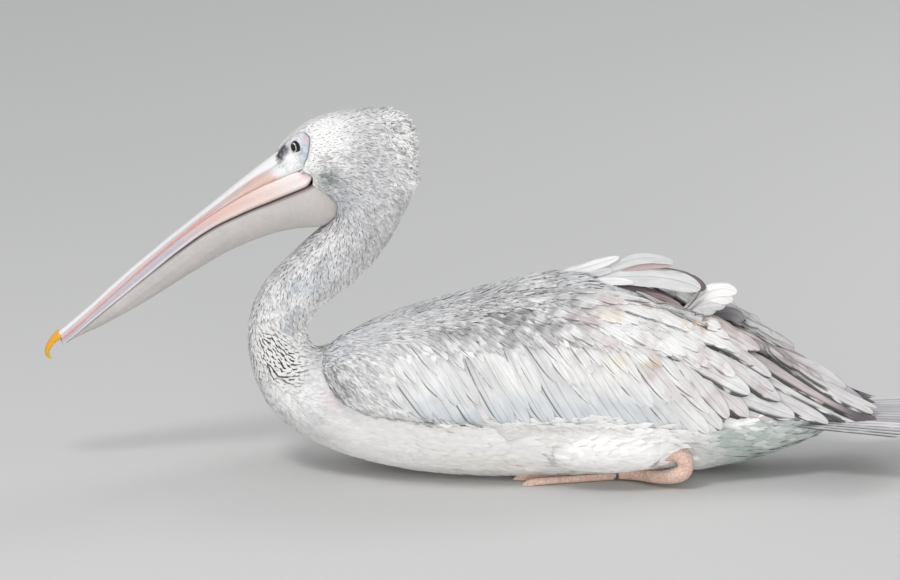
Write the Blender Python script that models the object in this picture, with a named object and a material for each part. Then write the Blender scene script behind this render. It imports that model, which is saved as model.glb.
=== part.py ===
"""Pink-backed pelican at rest on its belly, life size, as a still museum model.

The bird faces -X with its back to +Z, and its left side is at -Y.
The origin lies under the middle of the belly, on the surface that carries it.
Lengths below are in millimetres and are turned into metres where a mesh is made.
"""

import math

import bmesh
import bpy
import numpy as np

MM = 0.001

# Driving dimensions
CLEARANCE = 0.4  # between neighbouring pieces
BILL_ROOM = 0.9  # round the bill's base
BODY_SIDES = 28  # facets round the body
WING_STEPS = 6  # facets across a folded wing
EYE_RADIUS = 7.5
EYE_CENTRE = (-243.0, 16.0, 361.0)
BILL_TIP = np.array([-505.0, 0.0, 140.0])
BILL_SLOPE = math.radians(38.3)  # of the bill above level, towards the head
NAIL_REACH = 25.0
NAIL_DROP = 11.5
NAIL_BEND = math.radians(112)
TAIL_ROOT = (238.0, 63.0)
TAIL_BASE_HALF_WIDTH = 30.0
TAIL_LENGTH = 212.0
TAIL_SPREAD = math.radians(15.5)
TAIL_FEATHERS = 20
TAIL_THICKNESS = 4.0
TAIL_DROOP = 5.0  # of the outer feathers below the middle pair
ANKLE = (166.0, 91.0, 27.0)
ANKLE_TURN = 12.5
FOOT_ROOT = (104.0, 54.0)
WEB_THICKNESS = 2.4

# The body from the bill's base to the rump. Each row is one slanting cross-section:
# its throat or belly point (x, z), its crown or back point (x, z), and half its width.
BODY = (
    (-250, 316, -266, 346, 19),
    (-235, 308, -251, 367, 25.5),
    (-222, 302, -224, 387, 29),
    (-214, 297, -188, 397, 32.5),
    (-209, 292, -150, 400, 34),
    (-206, 288, -121, 387, 34.5),
    (-205, 284, -112, 351, 34),
    (-206, 279, -114, 311, 33.5),
    (-212, 270, -137, 258, 32.5),
    (-225, 259, -168, 219, 31),
    (-248, 237, -203, 191, 30),
    (-273, 211, -224, 172, 30),
    (-289, 182, -231, 153, 31),
    (-295, 144, -227, 137, 33),
    (-288, 102, -214, 129, 41),
    (-266, 62, -195, 139, 56),
    (-232, 36, -165, 159, 75),
    (-190, 18, -120, 177, 93),
    (-130, 3, -76, 190, 107),
    (-62, -5, -25, 203, 115),
    (8, -7, 25, 215, 118),
    (78, -6, 85, 215, 117),
    (145, -4, 147, 195, 109),
    (205, 3, 205, 157, 91),
    (258, 17, 258, 117, 68),
    (305, 34, 305, 92, 46),
    (338, 50, 338, 80, 24),
)
HEAD_END, NECK_TOP_END, NECK_MIDDLE_END, NECK_END = 5.6, 8.6, 11.2, 14.0
BACK_TAPER = 0.10  # how much narrower the back is than the belly
HEAD_SQUARENESS = ((0.0, 0.6), (1.5, 0.6), (5.0, 1.0))  # by row, 1 for an ellipse

# Lines of the bill in side view, by distance from its tip along its axis:
# height of the ridge, of the cutting edge, of the lower jaw's underside and of the
# pouch's underside above the axis, then half the width of the bill and of the pouch.
BILL = (
    (0, 5.0, -4.0, -9.0, -10.0, 8.0, 5.0),
    (14, 4.2, -3.8, -8.6, -11.0, 10.5, 6.5),
    (30, 4.6, -3.0, -8.0, -14.0, 12.4, 8.5),
    (60, 6.2, 0.0, -7.0, -20.5, 12.6, 10.5),
    (110, 10.3, 4.0, -5.6, -28.0, 13.6, 12.5),
    (170, 12.8, 7.2, -3.8, -33.5, 15.5, 15.0),
    (215, 13.6, 7.4, -5.4, -39.6, 18.0, 17.5),
    (255, 14.4, 5.0, -13.0, -50.5, 21.5, 21.0),
    (285, 15.0, 0.5, -20.5, -64.0, 24.5, 24.0),
    (310, 15.0, -5.5, -27.0, -80.0, 26.0, 25.5),
    (330, 14.0, -11.0, -32.0, -84.0, 26.5, 25.5),
    (345, 12.0, -16.0, -33.0, -82.0, 26.0, 22.0),
)
BILL_START, UPPER_BILL_END, LOWER_BILL_END, POUCH_END = 0.9, 9.8, 10.6, 10.9

# A folded wing from the shoulder to the tip. Each row is one upright cross-section:
# its place along the bird, its upper edge (y, z), its lower edge (y, z), how far it
# bulges outwards between them, and how thick it is.
WING = (
    (-214, 75, 147, 85, 128, 3, 8),
    (-205, 67, 158, 96, 112, 11, 20),
    (-189, 59, 167, 107, 97, 21, 28),
    (-160, 52, 176, 116, 88, 30, 31),
    (-120, 47, 185, 122, 83, 36, 31),
    (-60, 44, 196, 126, 79, 39, 29),
    (0, 46, 206, 127, 78, 40, 27),
    (68, 48, 210, 123, 79, 39, 25),
    (127, 48, 204, 114, 70, 35, 21),
    (175, 44, 190, 102, 60, 29, 17),
    (216, 37, 174, 88, 61, 22, 13),
    (260, 27, 148, 72, 63, 15, 9),
    (300, 19, 120, 60, 66, 10, 7),
    (345, 14, 92, 47, 68, 5, 5),
    (380, 13, 76, 34, 67, 2, 4),
    (405, 17, 69, 25, 66, 1, 2.5),
)
# The right wing hangs lower at the shoulder and is looser behind:
# (x, rise of its upper edge, rise of its lower edge).
RIGHT_RISE = (
    (-214, -38, -36),
    (-189, -38, -26),
    (-160, -34, -14),
    (-120, -30, -6),
    (-60, -24, 0),
    (0, -16, 0),
    (127, 0, 0),
    (190, 10, 0),
    (240, 7, 0),
    (300, 0, 0),
)
COVERTS_END, TERTIALS_END = 9.6, 11.7
WING_EDGE = 0.12  # share of the full thickness left at a wing's edges

# A big feather's cross-section: across in half widths, and height in mm.
BLADE_OUTLINE = (
    (-1, 0), (-0.5, 0.8), (0, 1.3), (0.5, 0.8), (1, 0), (0.5, -0.5), (0, -0.7), (-0.5, -0.5)
)

# The ruffled inner feathers of the right wing. Each row is one feather:
# root, the top of its arch, and tip, each (x, y, z), then half its width and its roll.
RUFFLED = (
    ((72, 8, 223), (132, 16, 225), (166, 18, 216), 12, -55),
    ((100, -1, 220), (155, 1, 207), (197, 6, 187), 18, -50),
    ((165, 16, 190), (205, 17, 184), (234, 15, 167), 17, -55),
)

# Toes by name: reach, turn from straight ahead towards the bird's middle, radius.
TOES = (
    ("outer", 98.0, -11.0, 4.2),
    ("middle", 106.0, 0.0, 4.4),
    ("inner", 84.0, 13.0, 4.0),
    ("hind", 42.0, 36.0, 3.4),
)
CLAW = 10.0
HEEL_WIDTH, HEEL_HEIGHT = 9.0, 9.0

PLUMAGE_WHITE = (0.86, 0.85, 0.84)
PLUMAGE_GREY = (0.68, 0.67, 0.68)
QUILL_GREY = (0.55, 0.52, 0.53)
BILL_PINK = (0.85, 0.74, 0.71)
JAW_PINK = (0.87, 0.68, 0.61)
POUCH_GREY = (0.62, 0.61, 0.61)
NAIL_YELLOW = (0.95, 0.66, 0.05)
EYE_DARK = (0.03, 0.025, 0.02)
LEG_PINK = (0.86, 0.62, 0.5)


def clear_scene():
    """Empties the file's scene."""
    for obj in list(bpy.data.objects):
        bpy.data.objects.remove(obj)


def make_collections():
    """Returns one collection for the bird and one for the hidden cutters."""
    found = []
    for name in ("Pelican", "Cutters"):
        collection = bpy.data.collections.new(name)
        bpy.context.scene.collection.children.link(collection)
        found.append(collection)
    return found


def material(name, colour, roughness=0.8):
    """Returns the named plain finish, making it once."""
    made = bpy.data.materials.get(name)
    if made is None:
        made = bpy.data.materials.new(name)
        made.use_nodes = True
        shader = made.node_tree.nodes["Principled BSDF"]
        shader.inputs["Base Color"].default_value = (*colour, 1.0)
        shader.inputs["Roughness"].default_value = roughness
    return made


def along(rows, t):
    """The row at a fractional index, on a smooth curve through all of the rows."""
    table = np.array(rows, float)
    t = min(max(t, 0.0), len(table) - 1.0)
    i = min(int(t), len(table) - 2)
    f = t - i
    before, after = table[max(i - 1, 0)], table[min(i + 2, len(table) - 1)]
    here, there = table[i], table[i + 1]
    leave, arrive = (there - before) / 2, (after - here) / 2
    h = f * f * (3 - 2 * f)
    return (
        here * (1 - h)
        + there * h
        + leave * f * (1 - f) ** 2
        - arrive * f * f * (1 - f)
    )


def add(bm, name, collection, finish, smooth_below=40.0):
    """Makes an object of a bmesh that is in millimetres."""
    bmesh.ops.recalc_face_normals(bm, faces=bm.faces)
    for vertex in bm.verts:
        vertex.co *= MM
    mesh = bpy.data.meshes.new(name)
    bm.to_mesh(mesh)
    bm.free()
    mesh.shade_smooth()
    mesh.set_sharp_from_angle(angle=math.radians(smooth_below))
    mesh.materials.append(finish)
    obj = bpy.data.objects.new(name, mesh)
    collection.objects.link(obj)
    return obj


def loft(name, rings, collection, finish):
    """A closed solid through rings that hold equally many points, capped at its ends."""
    bm = bmesh.new()
    loops = [[bm.verts.new(point) for point in ring] for ring in rings]
    for first, second in zip(loops, loops[1:]):
        for i in range(len(first)):
            j = (i + 1) % len(first)
            bm.faces.new((first[i], first[j], second[j], second[i]))
    bm.faces.new(loops[0])
    bm.faces.new(reversed(loops[-1]))
    return add(bm, name, collection, finish)


def shifted(ring, distance, towards):
    """A ring moved along its own plane's normal, on the side where towards lies."""
    ring = np.array(ring)
    middle = ring.mean(axis=0)
    quarter = len(ring) // 4
    normal = np.cross(ring[0] - middle, ring[quarter] - middle)
    normal /= np.linalg.norm(normal)
    if np.dot(np.array(towards).mean(axis=0) - middle, normal) < 0:
        normal = -normal
    return ring + normal * distance


def carve(body, tool, cutters, gap=CLEARANCE):
    """Cuts from body the space of tool and a thin clearance round it."""
    name = "cut_" + tool.name
    cutter = bpy.data.objects.get(name)
    if cutter is None:
        mesh = tool.data.copy()
        normals = [vertex.normal.copy() for vertex in mesh.vertices]
        for vertex, normal in zip(mesh.vertices, normals):
            vertex.co += normal * gap * MM
        cutter = bpy.data.objects.new(name, mesh)
        cutter.hide_render = True
        cutter.display_type = "WIRE"
        cutters.objects.link(cutter)
    cut = body.modifiers.new("room for " + tool.name, "BOOLEAN")
    cut.operation = "DIFFERENCE"
    cut.object = cutter


def body_ring(t):
    """The body's cross-section at a fractional row of BODY."""
    belly_x, belly_z, back_x, back_z, half_width = along(BODY, t)
    belly = np.array([belly_x, 0.0, belly_z])
    back = np.array([back_x, 0.0, back_z])
    middle, radius = (belly + back) / 2, (back - belly) / 2
    roundness = np.interp(t, *zip(*HEAD_SQUARENESS))
    points = []
    for i in range(BODY_SIDES):
        angle = 2 * math.pi * i / BODY_SIDES
        width = half_width * (1 - BACK_TAPER * math.cos(angle))
        point = middle + radius * math.cos(angle)
        point[1] = width * math.copysign(abs(math.sin(angle)) ** roundness, math.sin(angle))
        point[2] = max(point[2], 0.0)
        points.append(point)
    return points


def body_length(name, start, end, rows, collection, finish):
    """The length of the body between two fractional rows, drawn back for clearance."""
    rings = [body_ring(t) for t in np.linspace(start, end, rows)]
    if start > 0:
        rings[0] = shifted(rings[0], CLEARANCE / 2, rings[1])
    rings[-1] = shifted(rings[-1], CLEARANCE / 2, rings[-2])
    return loft(name, rings, collection, finish)


def bill_point(distance, height, y=0.0):
    """A point by its distance from the bill's tip and its height above the bill's axis."""
    c, s = math.cos(BILL_SLOPE), math.sin(BILL_SLOPE)
    x = BILL_TIP[0] + distance * c - height * s
    z = BILL_TIP[2] + distance * s + height * c
    return np.array([x, y, z])


def upper_bill_half(t):
    """Half a section of the upper bill: a raised ridge, a groove, a rolled edge."""
    distance, ridge, edge, _, _, width, _ = along(BILL, t)
    low = edge + CLEARANCE / 2
    outline = ((0.0, 1.0), (0.3, 0.86), (0.5, 0.64), (0.94, 0.4), (1.0, 0.14), (0.9, 0.0))
    return distance, [(width * w, low + (ridge - low) * h) for w, h in outline]


def lower_bill_half(t):
    """Half a section of the lower jaw: flat above and below, with rounded sides."""
    distance, _, edge, underside, _, width, _ = along(BILL, t)
    top, low = edge - CLEARANCE / 2, underside + CLEARANCE / 2
    outline = ((0.0, 1.0), (0.92, 1.0), (1.0, 0.7), (1.0, 0.25), (0.93, 0.0), (0.0, 0.0))
    return distance, [(width * w, low + (top - low) * h) for w, h in outline]


def pouch_half(t):
    """Half a section of the pouch: as wide as the jaw above, a slack U below."""
    distance, _, _, jaw, underside, _, width = along(BILL, t)
    top = jaw - CLEARANCE / 2
    half = [(0.0, top)]
    for angle in np.linspace(0, math.pi / 2, 6):
        half.append((width * math.cos(angle), top - (top - underside) * math.sin(angle) ** 0.85))
    return distance, half


def bill_room_half(t):
    """Half a section of the room that the bill and the pouch take, with a clearance."""
    distance, upper = upper_bill_half(t)
    jaw = lower_bill_half(t)[1][1:-1]
    pouch = pouch_half(t)[1][2:]
    rows = [(y, h + BILL_ROOM) for y, h in upper[:3]]
    rows += [(y + BILL_ROOM, h) for y, h in upper[3:5] + jaw]
    rows += [(y + BILL_ROOM, h - BILL_ROOM / 2) for y, h in pouch[:-1]]
    rows.append((0.0, pouch[-1][1] - BILL_ROOM))
    return distance, rows


def bill_ring(half_section, t):
    """A whole section of the bill at a fractional row of BILL."""
    distance, half = half_section(t)
    mirrored = [(-y, h) for y, h in reversed(half) if y > 0.001]
    return [bill_point(distance, h, y) for y, h in half + mirrored]


def make_bill(bird, cutters):
    """The upper bill, the lower jaw and the pouch; returns the room that they take."""
    pink = material("bill horn", BILL_PINK, 0.45)
    jaw = material("jaw horn", JAW_PINK, 0.45)
    skin = material("pouch skin", POUCH_GREY, 0.6)
    steps = np.linspace(BILL_START, UPPER_BILL_END, 13)
    loft("upper_bill", [bill_ring(upper_bill_half, t) for t in steps], bird, pink)
    steps = np.linspace(0.65, LOWER_BILL_END, 14)
    rings = [bill_ring(lower_bill_half, t) for t in steps]
    middle = np.mean(rings[-1], axis=0)
    rings[-1] = [middle + (p - middle) * np.array([0.6, 0.9, 0.6]) for p in rings[-1]]
    loft("lower_bill", rings, bird, jaw)
    steps = np.linspace(BILL_START, POUCH_END, 13)
    loft("pouch", [bill_ring(pouch_half, t) for t in steps], bird, skin)
    steps = np.linspace(6.0, POUCH_END + 0.06, 9)
    room = loft("bill_room", [bill_ring(bill_room_half, t) for t in steps], cutters, skin)
    room.hide_render = True
    room.display_type = "WIRE"
    return room


def make_nail(collection):
    """The hooked nail that ends the upper bill, bent down over the lower jaw's tip."""
    start = along(BILL, BILL_START)[0] - CLEARANCE
    rings = []
    for share in np.linspace(0.0, 1.0, 7):
        bend = share * NAIL_BEND
        distance = start - NAIL_REACH * math.sin(bend)
        height = 1.2 - NAIL_DROP * (1 - math.cos(bend))
        depth = 3.5 * (1 - share) ** 0.6 + 1.0
        width = 10.2 * (1 - share) ** 0.75 + 1.4
        ring = []
        for angle in np.arange(10) * 2 * math.pi / 10:
            off = depth * math.cos(angle)
            along_bill = distance - off * math.sin(bend)
            above = height + off * math.cos(bend)
            ring.append(bill_point(along_bill, above, width * math.sin(angle)))
        rings.append(ring)
    return loft("bill_nail", rings, collection, material("nail horn", NAIL_YELLOW, 0.35))


def make_eye(side, name, collection):
    """One eyeball."""
    bm = bmesh.new()
    bmesh.ops.create_uvsphere(bm, u_segments=12, v_segments=8, radius=EYE_RADIUS)
    centre = (EYE_CENTRE[0], side * EYE_CENTRE[1], EYE_CENTRE[2])
    bmesh.ops.translate(bm, verts=bm.verts, vec=centre)
    return add(bm, name, collection, material("eye", EYE_DARK, 0.1))


def wing_ring(t, side):
    """A folded wing's cross-section: a crescent from its upper edge to its lower one."""
    x, upper_y, upper_z, lower_y, lower_z, bulge, thickness = along(WING, t)
    if side > 0:
        places, upper_rise, lower_rise = zip(*RIGHT_RISE)
        upper_z += np.interp(x, places, upper_rise)
        lower_z += np.interp(x, places, lower_rise)
    upper, lower = np.array([upper_y, upper_z]), np.array([lower_y, lower_z])
    chord = lower - upper
    outwards = np.array([-chord[1], chord[0]]) / np.linalg.norm(chord)
    outer, inner = [], []
    for i in range(WING_STEPS + 1):
        share = i / WING_STEPS
        bow = math.sin(math.pi * share)
        point = upper + chord * share
        depth = thickness * (WING_EDGE + (1 - WING_EDGE) * math.sqrt(max(bow, 0.0)))
        outer.append(point + outwards * bulge * bow)
        inner.append(point + outwards * (bulge * bow - depth))
    return [(x, side * y, z) for y, z in outer + inner[::-1]]


def make_wing(side, name, bird, cutters):
    """A folded wing in three lengths; returns the whole of it as a cutter."""
    grey = material("covert plumage", PLUMAGE_GREY)
    quill = material("flight feathers", QUILL_GREY)
    lengths = (
        (name, 0.0, COVERTS_END, 12, grey),
        (name + "_tertials", COVERTS_END, TERTIALS_END, 4, quill),
        (name + "_primaries", TERTIALS_END, len(WING) - 1.0, 5, quill),
    )
    every_step = []
    for part, start, end, rows, finish in lengths:
        steps = np.linspace(start, end, rows)
        rings = [np.array(wing_ring(t, side)) for t in steps]
        if start > 0:
            rings[0][:, 0] += CLEARANCE / 2
        if end < len(WING) - 1:
            rings[-1][:, 0] -= CLEARANCE / 2
        loft(part, rings, bird, finish)
        every_step.extend(steps if start == 0 else steps[1:])
    rings = [wing_ring(t, side) for t in every_step]
    whole = loft(name + "_whole", rings, cutters, grey)
    whole.hide_render = True
    whole.display_type = "WIRE"
    return whole


def blade(name, root, arch, tip, half_width, roll, collection, finish, rows=9):
    """One big feather: a thin leaf along an arched line, rolled about that line."""
    root, arch, tip = (np.array(p, float) for p in (root, arch, tip))
    control = 2 * arch - (root + tip) / 2
    rings = []
    for i in range(rows):
        s = i / (rows - 1)
        centre = (1 - s) ** 2 * root + 2 * s * (1 - s) * control + s * s * tip
        ahead = 2 * (1 - s) * (control - root) + 2 * s * (tip - control)
        ahead /= np.linalg.norm(ahead)
        across = np.cross(ahead, (0, 0, 1))
        across /= np.linalg.norm(across)
        face = np.cross(across, ahead)
        turn = math.radians(roll)
        wide = across * math.cos(turn) + face * math.sin(turn)
        thick = face * math.cos(turn) - across * math.sin(turn)
        width = half_width * (0.3 + 0.7 * math.sin(math.pi * min(1.0, s * 0.62 + 0.04)))
        width *= math.sqrt(max(0.0, 1 - max(0.0, (s - 0.78) / 0.235) ** 2))
        width = max(width, 1.5)
        ring = []
        for w, h in BLADE_OUTLINE:
            sag = -0.16 * width * w * w
            ring.append(centre + wide * width * w + thick * (h + sag))
        rings.append(ring)
    return loft(name, rings, collection, finish)


def close_plate(bm, top, bottom):
    """Joins two grids of vertices, one above the other, into one closed plate."""
    rows, columns = len(top) - 1, len(top[0]) - 1
    for j in range(rows):
        for i in range(columns):
            bm.faces.new((top[j][i], top[j][i + 1], top[j + 1][i + 1], top[j + 1][i]))
            low = (bottom[j][i], bottom[j + 1][i], bottom[j + 1][i + 1], bottom[j][i + 1])
            bm.faces.new(low)
    rim = [(0, i) for i in range(columns)] + [(j, columns) for j in range(rows)]
    rim += [(rows, i) for i in range(columns, 0, -1)] + [(j, 0) for j in range(rows, 0, -1)]
    for (j, i), (k, m) in zip(rim, rim[1:] + rim[:1]):
        bm.faces.new((top[j][i], bottom[j][i], bottom[k][m], top[k][m]))


def make_tail(collection):
    """The tail: a low fan whose rim is scalloped by the tips of its feathers."""
    bm = bmesh.new()
    columns = TAIL_FEATHERS * 2
    layers = []
    for level in (1, -1):
        grid = []
        for step in (0.12, 1.0):
            line = []
            for i in range(columns + 1):
                share = 2 * i / columns - 1
                angle = TAIL_SPREAD * share
                scallop = 2.2 if i % 2 else -2.2
                reach = step * (TAIL_LENGTH * (1 - 0.14 * share * share) + scallop)
                x = TAIL_ROOT[0] + reach * math.cos(angle)
                y = TAIL_BASE_HALF_WIDTH * share + reach * math.sin(angle)
                z = TAIL_ROOT[1] - TAIL_DROOP * (y / 90) ** 2
                z += level * TAIL_THICKNESS / 2 * (1 - 0.5 * step)
                line.append(bm.verts.new((x, y, z)))
            grid.append(line)
        layers.append(grid)
    close_plate(bm, *layers)
    return add(bm, "tail", collection, material("tail feathers", PLUMAGE_WHITE))


def tube(name, line, collection, finish, sides):
    """A solid of round sections along rows of (x, y, z, radius), none below z = 0."""
    rows = np.array(line, float)
    rings = []
    for i, row in enumerate(rows):
        ahead = rows[min(i + 1, len(rows) - 1), :3] - rows[max(i - 1, 0), :3]
        ahead /= np.linalg.norm(ahead)
        across = np.array([0.0, 1.0, 0.0]) - ahead * ahead[1]
        across /= np.linalg.norm(across)
        up = np.cross(across, ahead)
        ring = []
        for angle in np.arange(sides) * 2 * math.pi / sides:
            point = row[:3] + (across * math.cos(angle) + up * math.sin(angle)) * row[3]
            point[2] = max(point[2], 0.0)
            ring.append(point)
        rings.append(ring)
    return loft(name, rings, collection, finish)


def make_thigh(side, name, collection):
    """The feathered thigh, which lies along the flank and ends at the ankle."""
    rows = (
        (14, 82, 50, 12),
        (30, 86, 50, 22),
        (60, 91, 49, 28),
        (95, 93, 47, 28),
        (125, 93, 45, 24),
        (150, 91, 42, 16),
    )
    line = [along(rows, t) * (1, side, 1, 1) for t in np.linspace(0, 5, 9)]
    white = material("flank plumage", PLUMAGE_WHITE)
    return tube(name, line, collection, white, 14)


def make_shank(side, name, collection):
    """The bare leg below the thigh: round the swollen ankle, then laid forwards."""
    x, y, z = ANKLE
    rows = [(151.2, y, 41, 11), (158, y, 40.5, 10)]
    for angle in np.radians((75, 25, -25, -75)):
        swelling = 9.2 + 1.2 * math.cos(angle)
        turn_x = x + ANKLE_TURN * math.cos(angle)
        rows.append((turn_x, y, z + ANKLE_TURN * math.sin(angle), swelling))
    heel = FOOT_ROOT[0] + 2.2
    rows += [(145, 79, 9.6, 7.2), (125, 62, 8.0, 6.4), (heel, FOOT_ROOT[1] + 2, 6.8, 6.4)]
    line = [along(rows, t) * (1, side, 1, 1) for t in np.linspace(0, len(rows) - 1, 13)]
    return tube(name, line, collection, material("leg skin", LEG_PINK, 0.6), 8)


def foot_columns():
    """The lines that run down a foot: three along each toe, one along each web."""
    columns = []
    for (_, reach, turn, radius), following in zip(TOES, TOES[1:] + (None,)):
        for edge in (-1, 0, 1):
            length = reach + (CLAW if edge == 0 else -2.0)
            height = radius * (2.0 if edge == 0 else 1.1)
            columns.append((turn, edge * radius, length, height))
        if following:
            middle = (turn + following[2]) / 2
            columns.append((middle, 0.0, 0.8 * min(reach, following[1]), WEB_THICKNESS))
    return columns


def make_foot(side, name, collection):
    """A folded foot, flat below: toes that spread from one root, joined by a web."""
    bm = bmesh.new()
    columns = foot_columns()
    layers = []
    for level in (0, 1):
        grid = []
        for share in (0.0, 0.2, 0.45, 0.75, 0.92, 1.0):
            line = []
            for i, (turn, offset, length, height) in enumerate(columns):
                heading = math.radians(turn)
                reach = length * share
                spread = offset * min(1.0, 1.3 * share)
                x = FOOT_ROOT[0] - reach * math.cos(heading) + spread * math.sin(heading)
                y = FOOT_ROOT[1] - reach * math.sin(heading) - spread * math.cos(heading)
                y -= HEEL_WIDTH * (i / (len(columns) - 1) - 0.5)
                root = (1 - share) ** 2
                top = height * (1 - root) + HEEL_HEIGHT * root
                if share == 1.0:
                    top = min(top, 1.2)
                line.append(bm.verts.new((x, side * y, level * top)))
            grid.append(line)
        layers.append(grid)
    close_plate(bm, layers[1], layers[0])
    return add(bm, name, collection, material("leg skin", LEG_PINK, 0.6), 60.0)


def main():
    clear_scene()
    bird, cutters = make_collections()
    white = material("body plumage", PLUMAGE_WHITE)
    head = body_length("head", 0.0, HEAD_END, 10, bird, white)
    neck_top = body_length("neck_upper", HEAD_END, NECK_TOP_END, 6, bird, white)
    body_length("neck_middle", NECK_TOP_END, NECK_MIDDLE_END, 5, bird, white)
    body_length("neck_lower", NECK_MIDDLE_END, NECK_END, 5, bird, white)
    trunk = body_length("trunk", NECK_END, len(BODY) - 1.0, 18, bird, white)
    room = make_bill(bird, cutters)
    make_nail(bird)
    carve(head, room, cutters, 0.0)
    carve(neck_top, room, cutters, 0.0)
    carve(trunk, make_tail(bird), cutters)
    for side, hand in ((-1, "left"), (1, "right")):
        carve(head, make_eye(side, "eye_" + hand, bird), cutters)
        wing = make_wing(side, "wing_" + hand, bird, cutters)
        thigh = make_thigh(side, "thigh_" + hand, bird)
        shank = make_shank(side, "shank_" + hand, bird)
        foot = make_foot(side, "foot_" + hand, bird)
        for piece, gaps in ((wing, 2), (thigh, 1), (shank, 1), (foot, 3)):
            carve(trunk, piece, cutters, gaps * CLEARANCE)
    quill = material("flight feathers", QUILL_GREY)
    for number, (root, arch, tip, half_width, roll) in enumerate(RUFFLED, 1):
        name = f"ruffled_feather_{number}"
        feather = blade(name, root, arch, tip, half_width, roll, bird, quill)
        carve(feather, bpy.data.objects["wing_right_whole"], cutters)


main()
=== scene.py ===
"""A resting pink-backed pelican: skin, plumage, bill, eyes and legs over its solid model."""

import math

import bmesh
import bpy
import numpy as np
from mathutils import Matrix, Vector
from mathutils.bvhtree import BVHTree
from numpy.random import default_rng


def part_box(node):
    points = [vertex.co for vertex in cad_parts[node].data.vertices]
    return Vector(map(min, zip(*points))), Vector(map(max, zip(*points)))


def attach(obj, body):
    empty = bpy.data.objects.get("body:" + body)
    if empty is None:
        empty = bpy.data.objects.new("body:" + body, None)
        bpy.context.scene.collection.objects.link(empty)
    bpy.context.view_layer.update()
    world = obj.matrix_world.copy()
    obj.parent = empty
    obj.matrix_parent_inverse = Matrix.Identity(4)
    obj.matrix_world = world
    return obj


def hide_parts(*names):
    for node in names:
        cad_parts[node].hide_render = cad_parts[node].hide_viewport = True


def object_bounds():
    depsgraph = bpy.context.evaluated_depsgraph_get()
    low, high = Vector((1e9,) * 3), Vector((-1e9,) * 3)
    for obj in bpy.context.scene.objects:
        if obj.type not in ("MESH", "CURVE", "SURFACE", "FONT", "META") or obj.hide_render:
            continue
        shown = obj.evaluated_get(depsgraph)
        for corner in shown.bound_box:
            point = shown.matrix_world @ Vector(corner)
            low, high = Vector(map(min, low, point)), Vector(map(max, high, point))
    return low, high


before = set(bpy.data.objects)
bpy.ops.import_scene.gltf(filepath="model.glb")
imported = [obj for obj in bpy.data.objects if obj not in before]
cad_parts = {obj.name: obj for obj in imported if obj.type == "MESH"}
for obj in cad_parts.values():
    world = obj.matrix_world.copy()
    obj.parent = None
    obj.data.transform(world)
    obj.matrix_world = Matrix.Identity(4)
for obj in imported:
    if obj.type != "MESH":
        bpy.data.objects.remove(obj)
CAD_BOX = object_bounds()

bl_info = {
    "name": "Resting pelican",
    "version": (1, 0, 0),
    "blender": (4, 5, 0),
    "location": "View3D > Sidebar > Pelican",
    "description": "Skin, plumage, bill, eyes, legs and stage of a life-size pelican model",
    "category": "Add Mesh",
}

MM = 0.001
FLESH = (
    "head", "neck_upper", "neck_middle", "neck_lower", "trunk",
    "thigh_left", "thigh_right", "wing_left", "wing_right",
)

# The body's midline: (belly or throat x, z, back or crown x, z), in millimetres,
# from the bill's base round the bends of the neck to the rump.
MIDLINE = (
    (-250, 316, -266, 346), (-222, 302, -224, 387), (-209, 292, -150, 400),
    (-206, 288, -121, 387), (-205, 284, -112, 351), (-206, 279, -114, 311),
    (-212, 270, -137, 258), (-225, 259, -168, 219), (-248, 237, -203, 191),
    (-273, 211, -224, 172), (-289, 182, -231, 153), (-295, 144, -227, 137),
    (-288, 102, -214, 129), (-266, 62, -195, 139), (-232, 36, -165, 159),
    (-190, 18, -120, 177), (-130, 3, -76, 190), (-62, -5, -25, 203),
    (8, -7, 25, 215), (78, -6, 85, 215), (145, -4, 147, 195),
    (205, 3, 205, 157), (258, 17, 258, 117), (305, 34, 305, 92), (338, 50, 338, 80),
)
EYE = (-241.3, 16.0, 361.2)  # eyeball's centre, in millimetres; the other is at -y
EYE_RADIUS = 7.5
LIDS = (4.2, 5.9)  # half width and half height of the opening between the lids
WING_DEPTH = 160.0  # about how deep the folded wing is in its middle
# The fold behind the bare face, (x, z), from the brow down to the gape.
FACE_FOLD = (
    (-238, 378.3), (-234, 377.4), (-228.6, 375), (-225.6, 372), (-225.7, 366), (-226.5, 359), (-228.2, 352),
    (-230.4, 346.5), (-232.4, 342), (-234, 336),
)

# The bill by distance from its tip: ridge, cutting edge, the jaw's underside and the
# pouch's underside above the bill's axis, half width of the bill and of the pouch.
BILL_TIP, BILL_SLOPE = (-505.0, 0.0, 140.0), math.radians(38.3)
BILL = (
    (0, 5, -4, -9, -10, 8, 5), (14, 4.2, -3.8, -8.6, -11, 10.5, 6.5),
    (30, 4.6, -3, -8, -14, 12.4, 8.5), (60, 6.2, 0, -7, -20.5, 12.6, 10.5),
    (110, 10.3, 4, -5.6, -28, 13.6, 12.5), (170, 12.8, 7.2, -3.8, -33.5, 15.5, 15),
    (215, 13.6, 7.4, -5.4, -39.6, 18, 17.5), (255, 14.4, 5, -13, -50.5, 21.5, 21),
    (285, 15, 0.5, -20.5, -64, 24.5, 24), (310, 15, -5.5, -27, -80, 26, 25.5),
    (330, 14, -11, -32, -84, 26.5, 25.5), (345, 12, -16, -33, -82, 26, 22),
)

GROWTH = 1.0  # how far the solids are swollen, in mm, to close the gaps between them
made = {}  # what the operators hand on to each other


def linear(colour):
    """An sRGB hex colour as linear red, green, blue and alpha."""
    parts = [int(colour[i : i + 2], 16) / 255 for i in (1, 3, 5)]
    return (*(p / 12.92 if p <= 0.04045 else ((p + 0.055) / 1.055) ** 2.4 for p in parts), 1.0)


def smooth(value, low, high):
    """0 below low, 1 above high, with an eased step between."""
    share = np.clip((np.asarray(value, float) - low) / (high - low), 0, 1)
    return share * share * (3 - 2 * share)


def fade(value, low, high):
    """1 below low, 0 above high."""
    return 1 - smooth(value, low, high)


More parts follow.
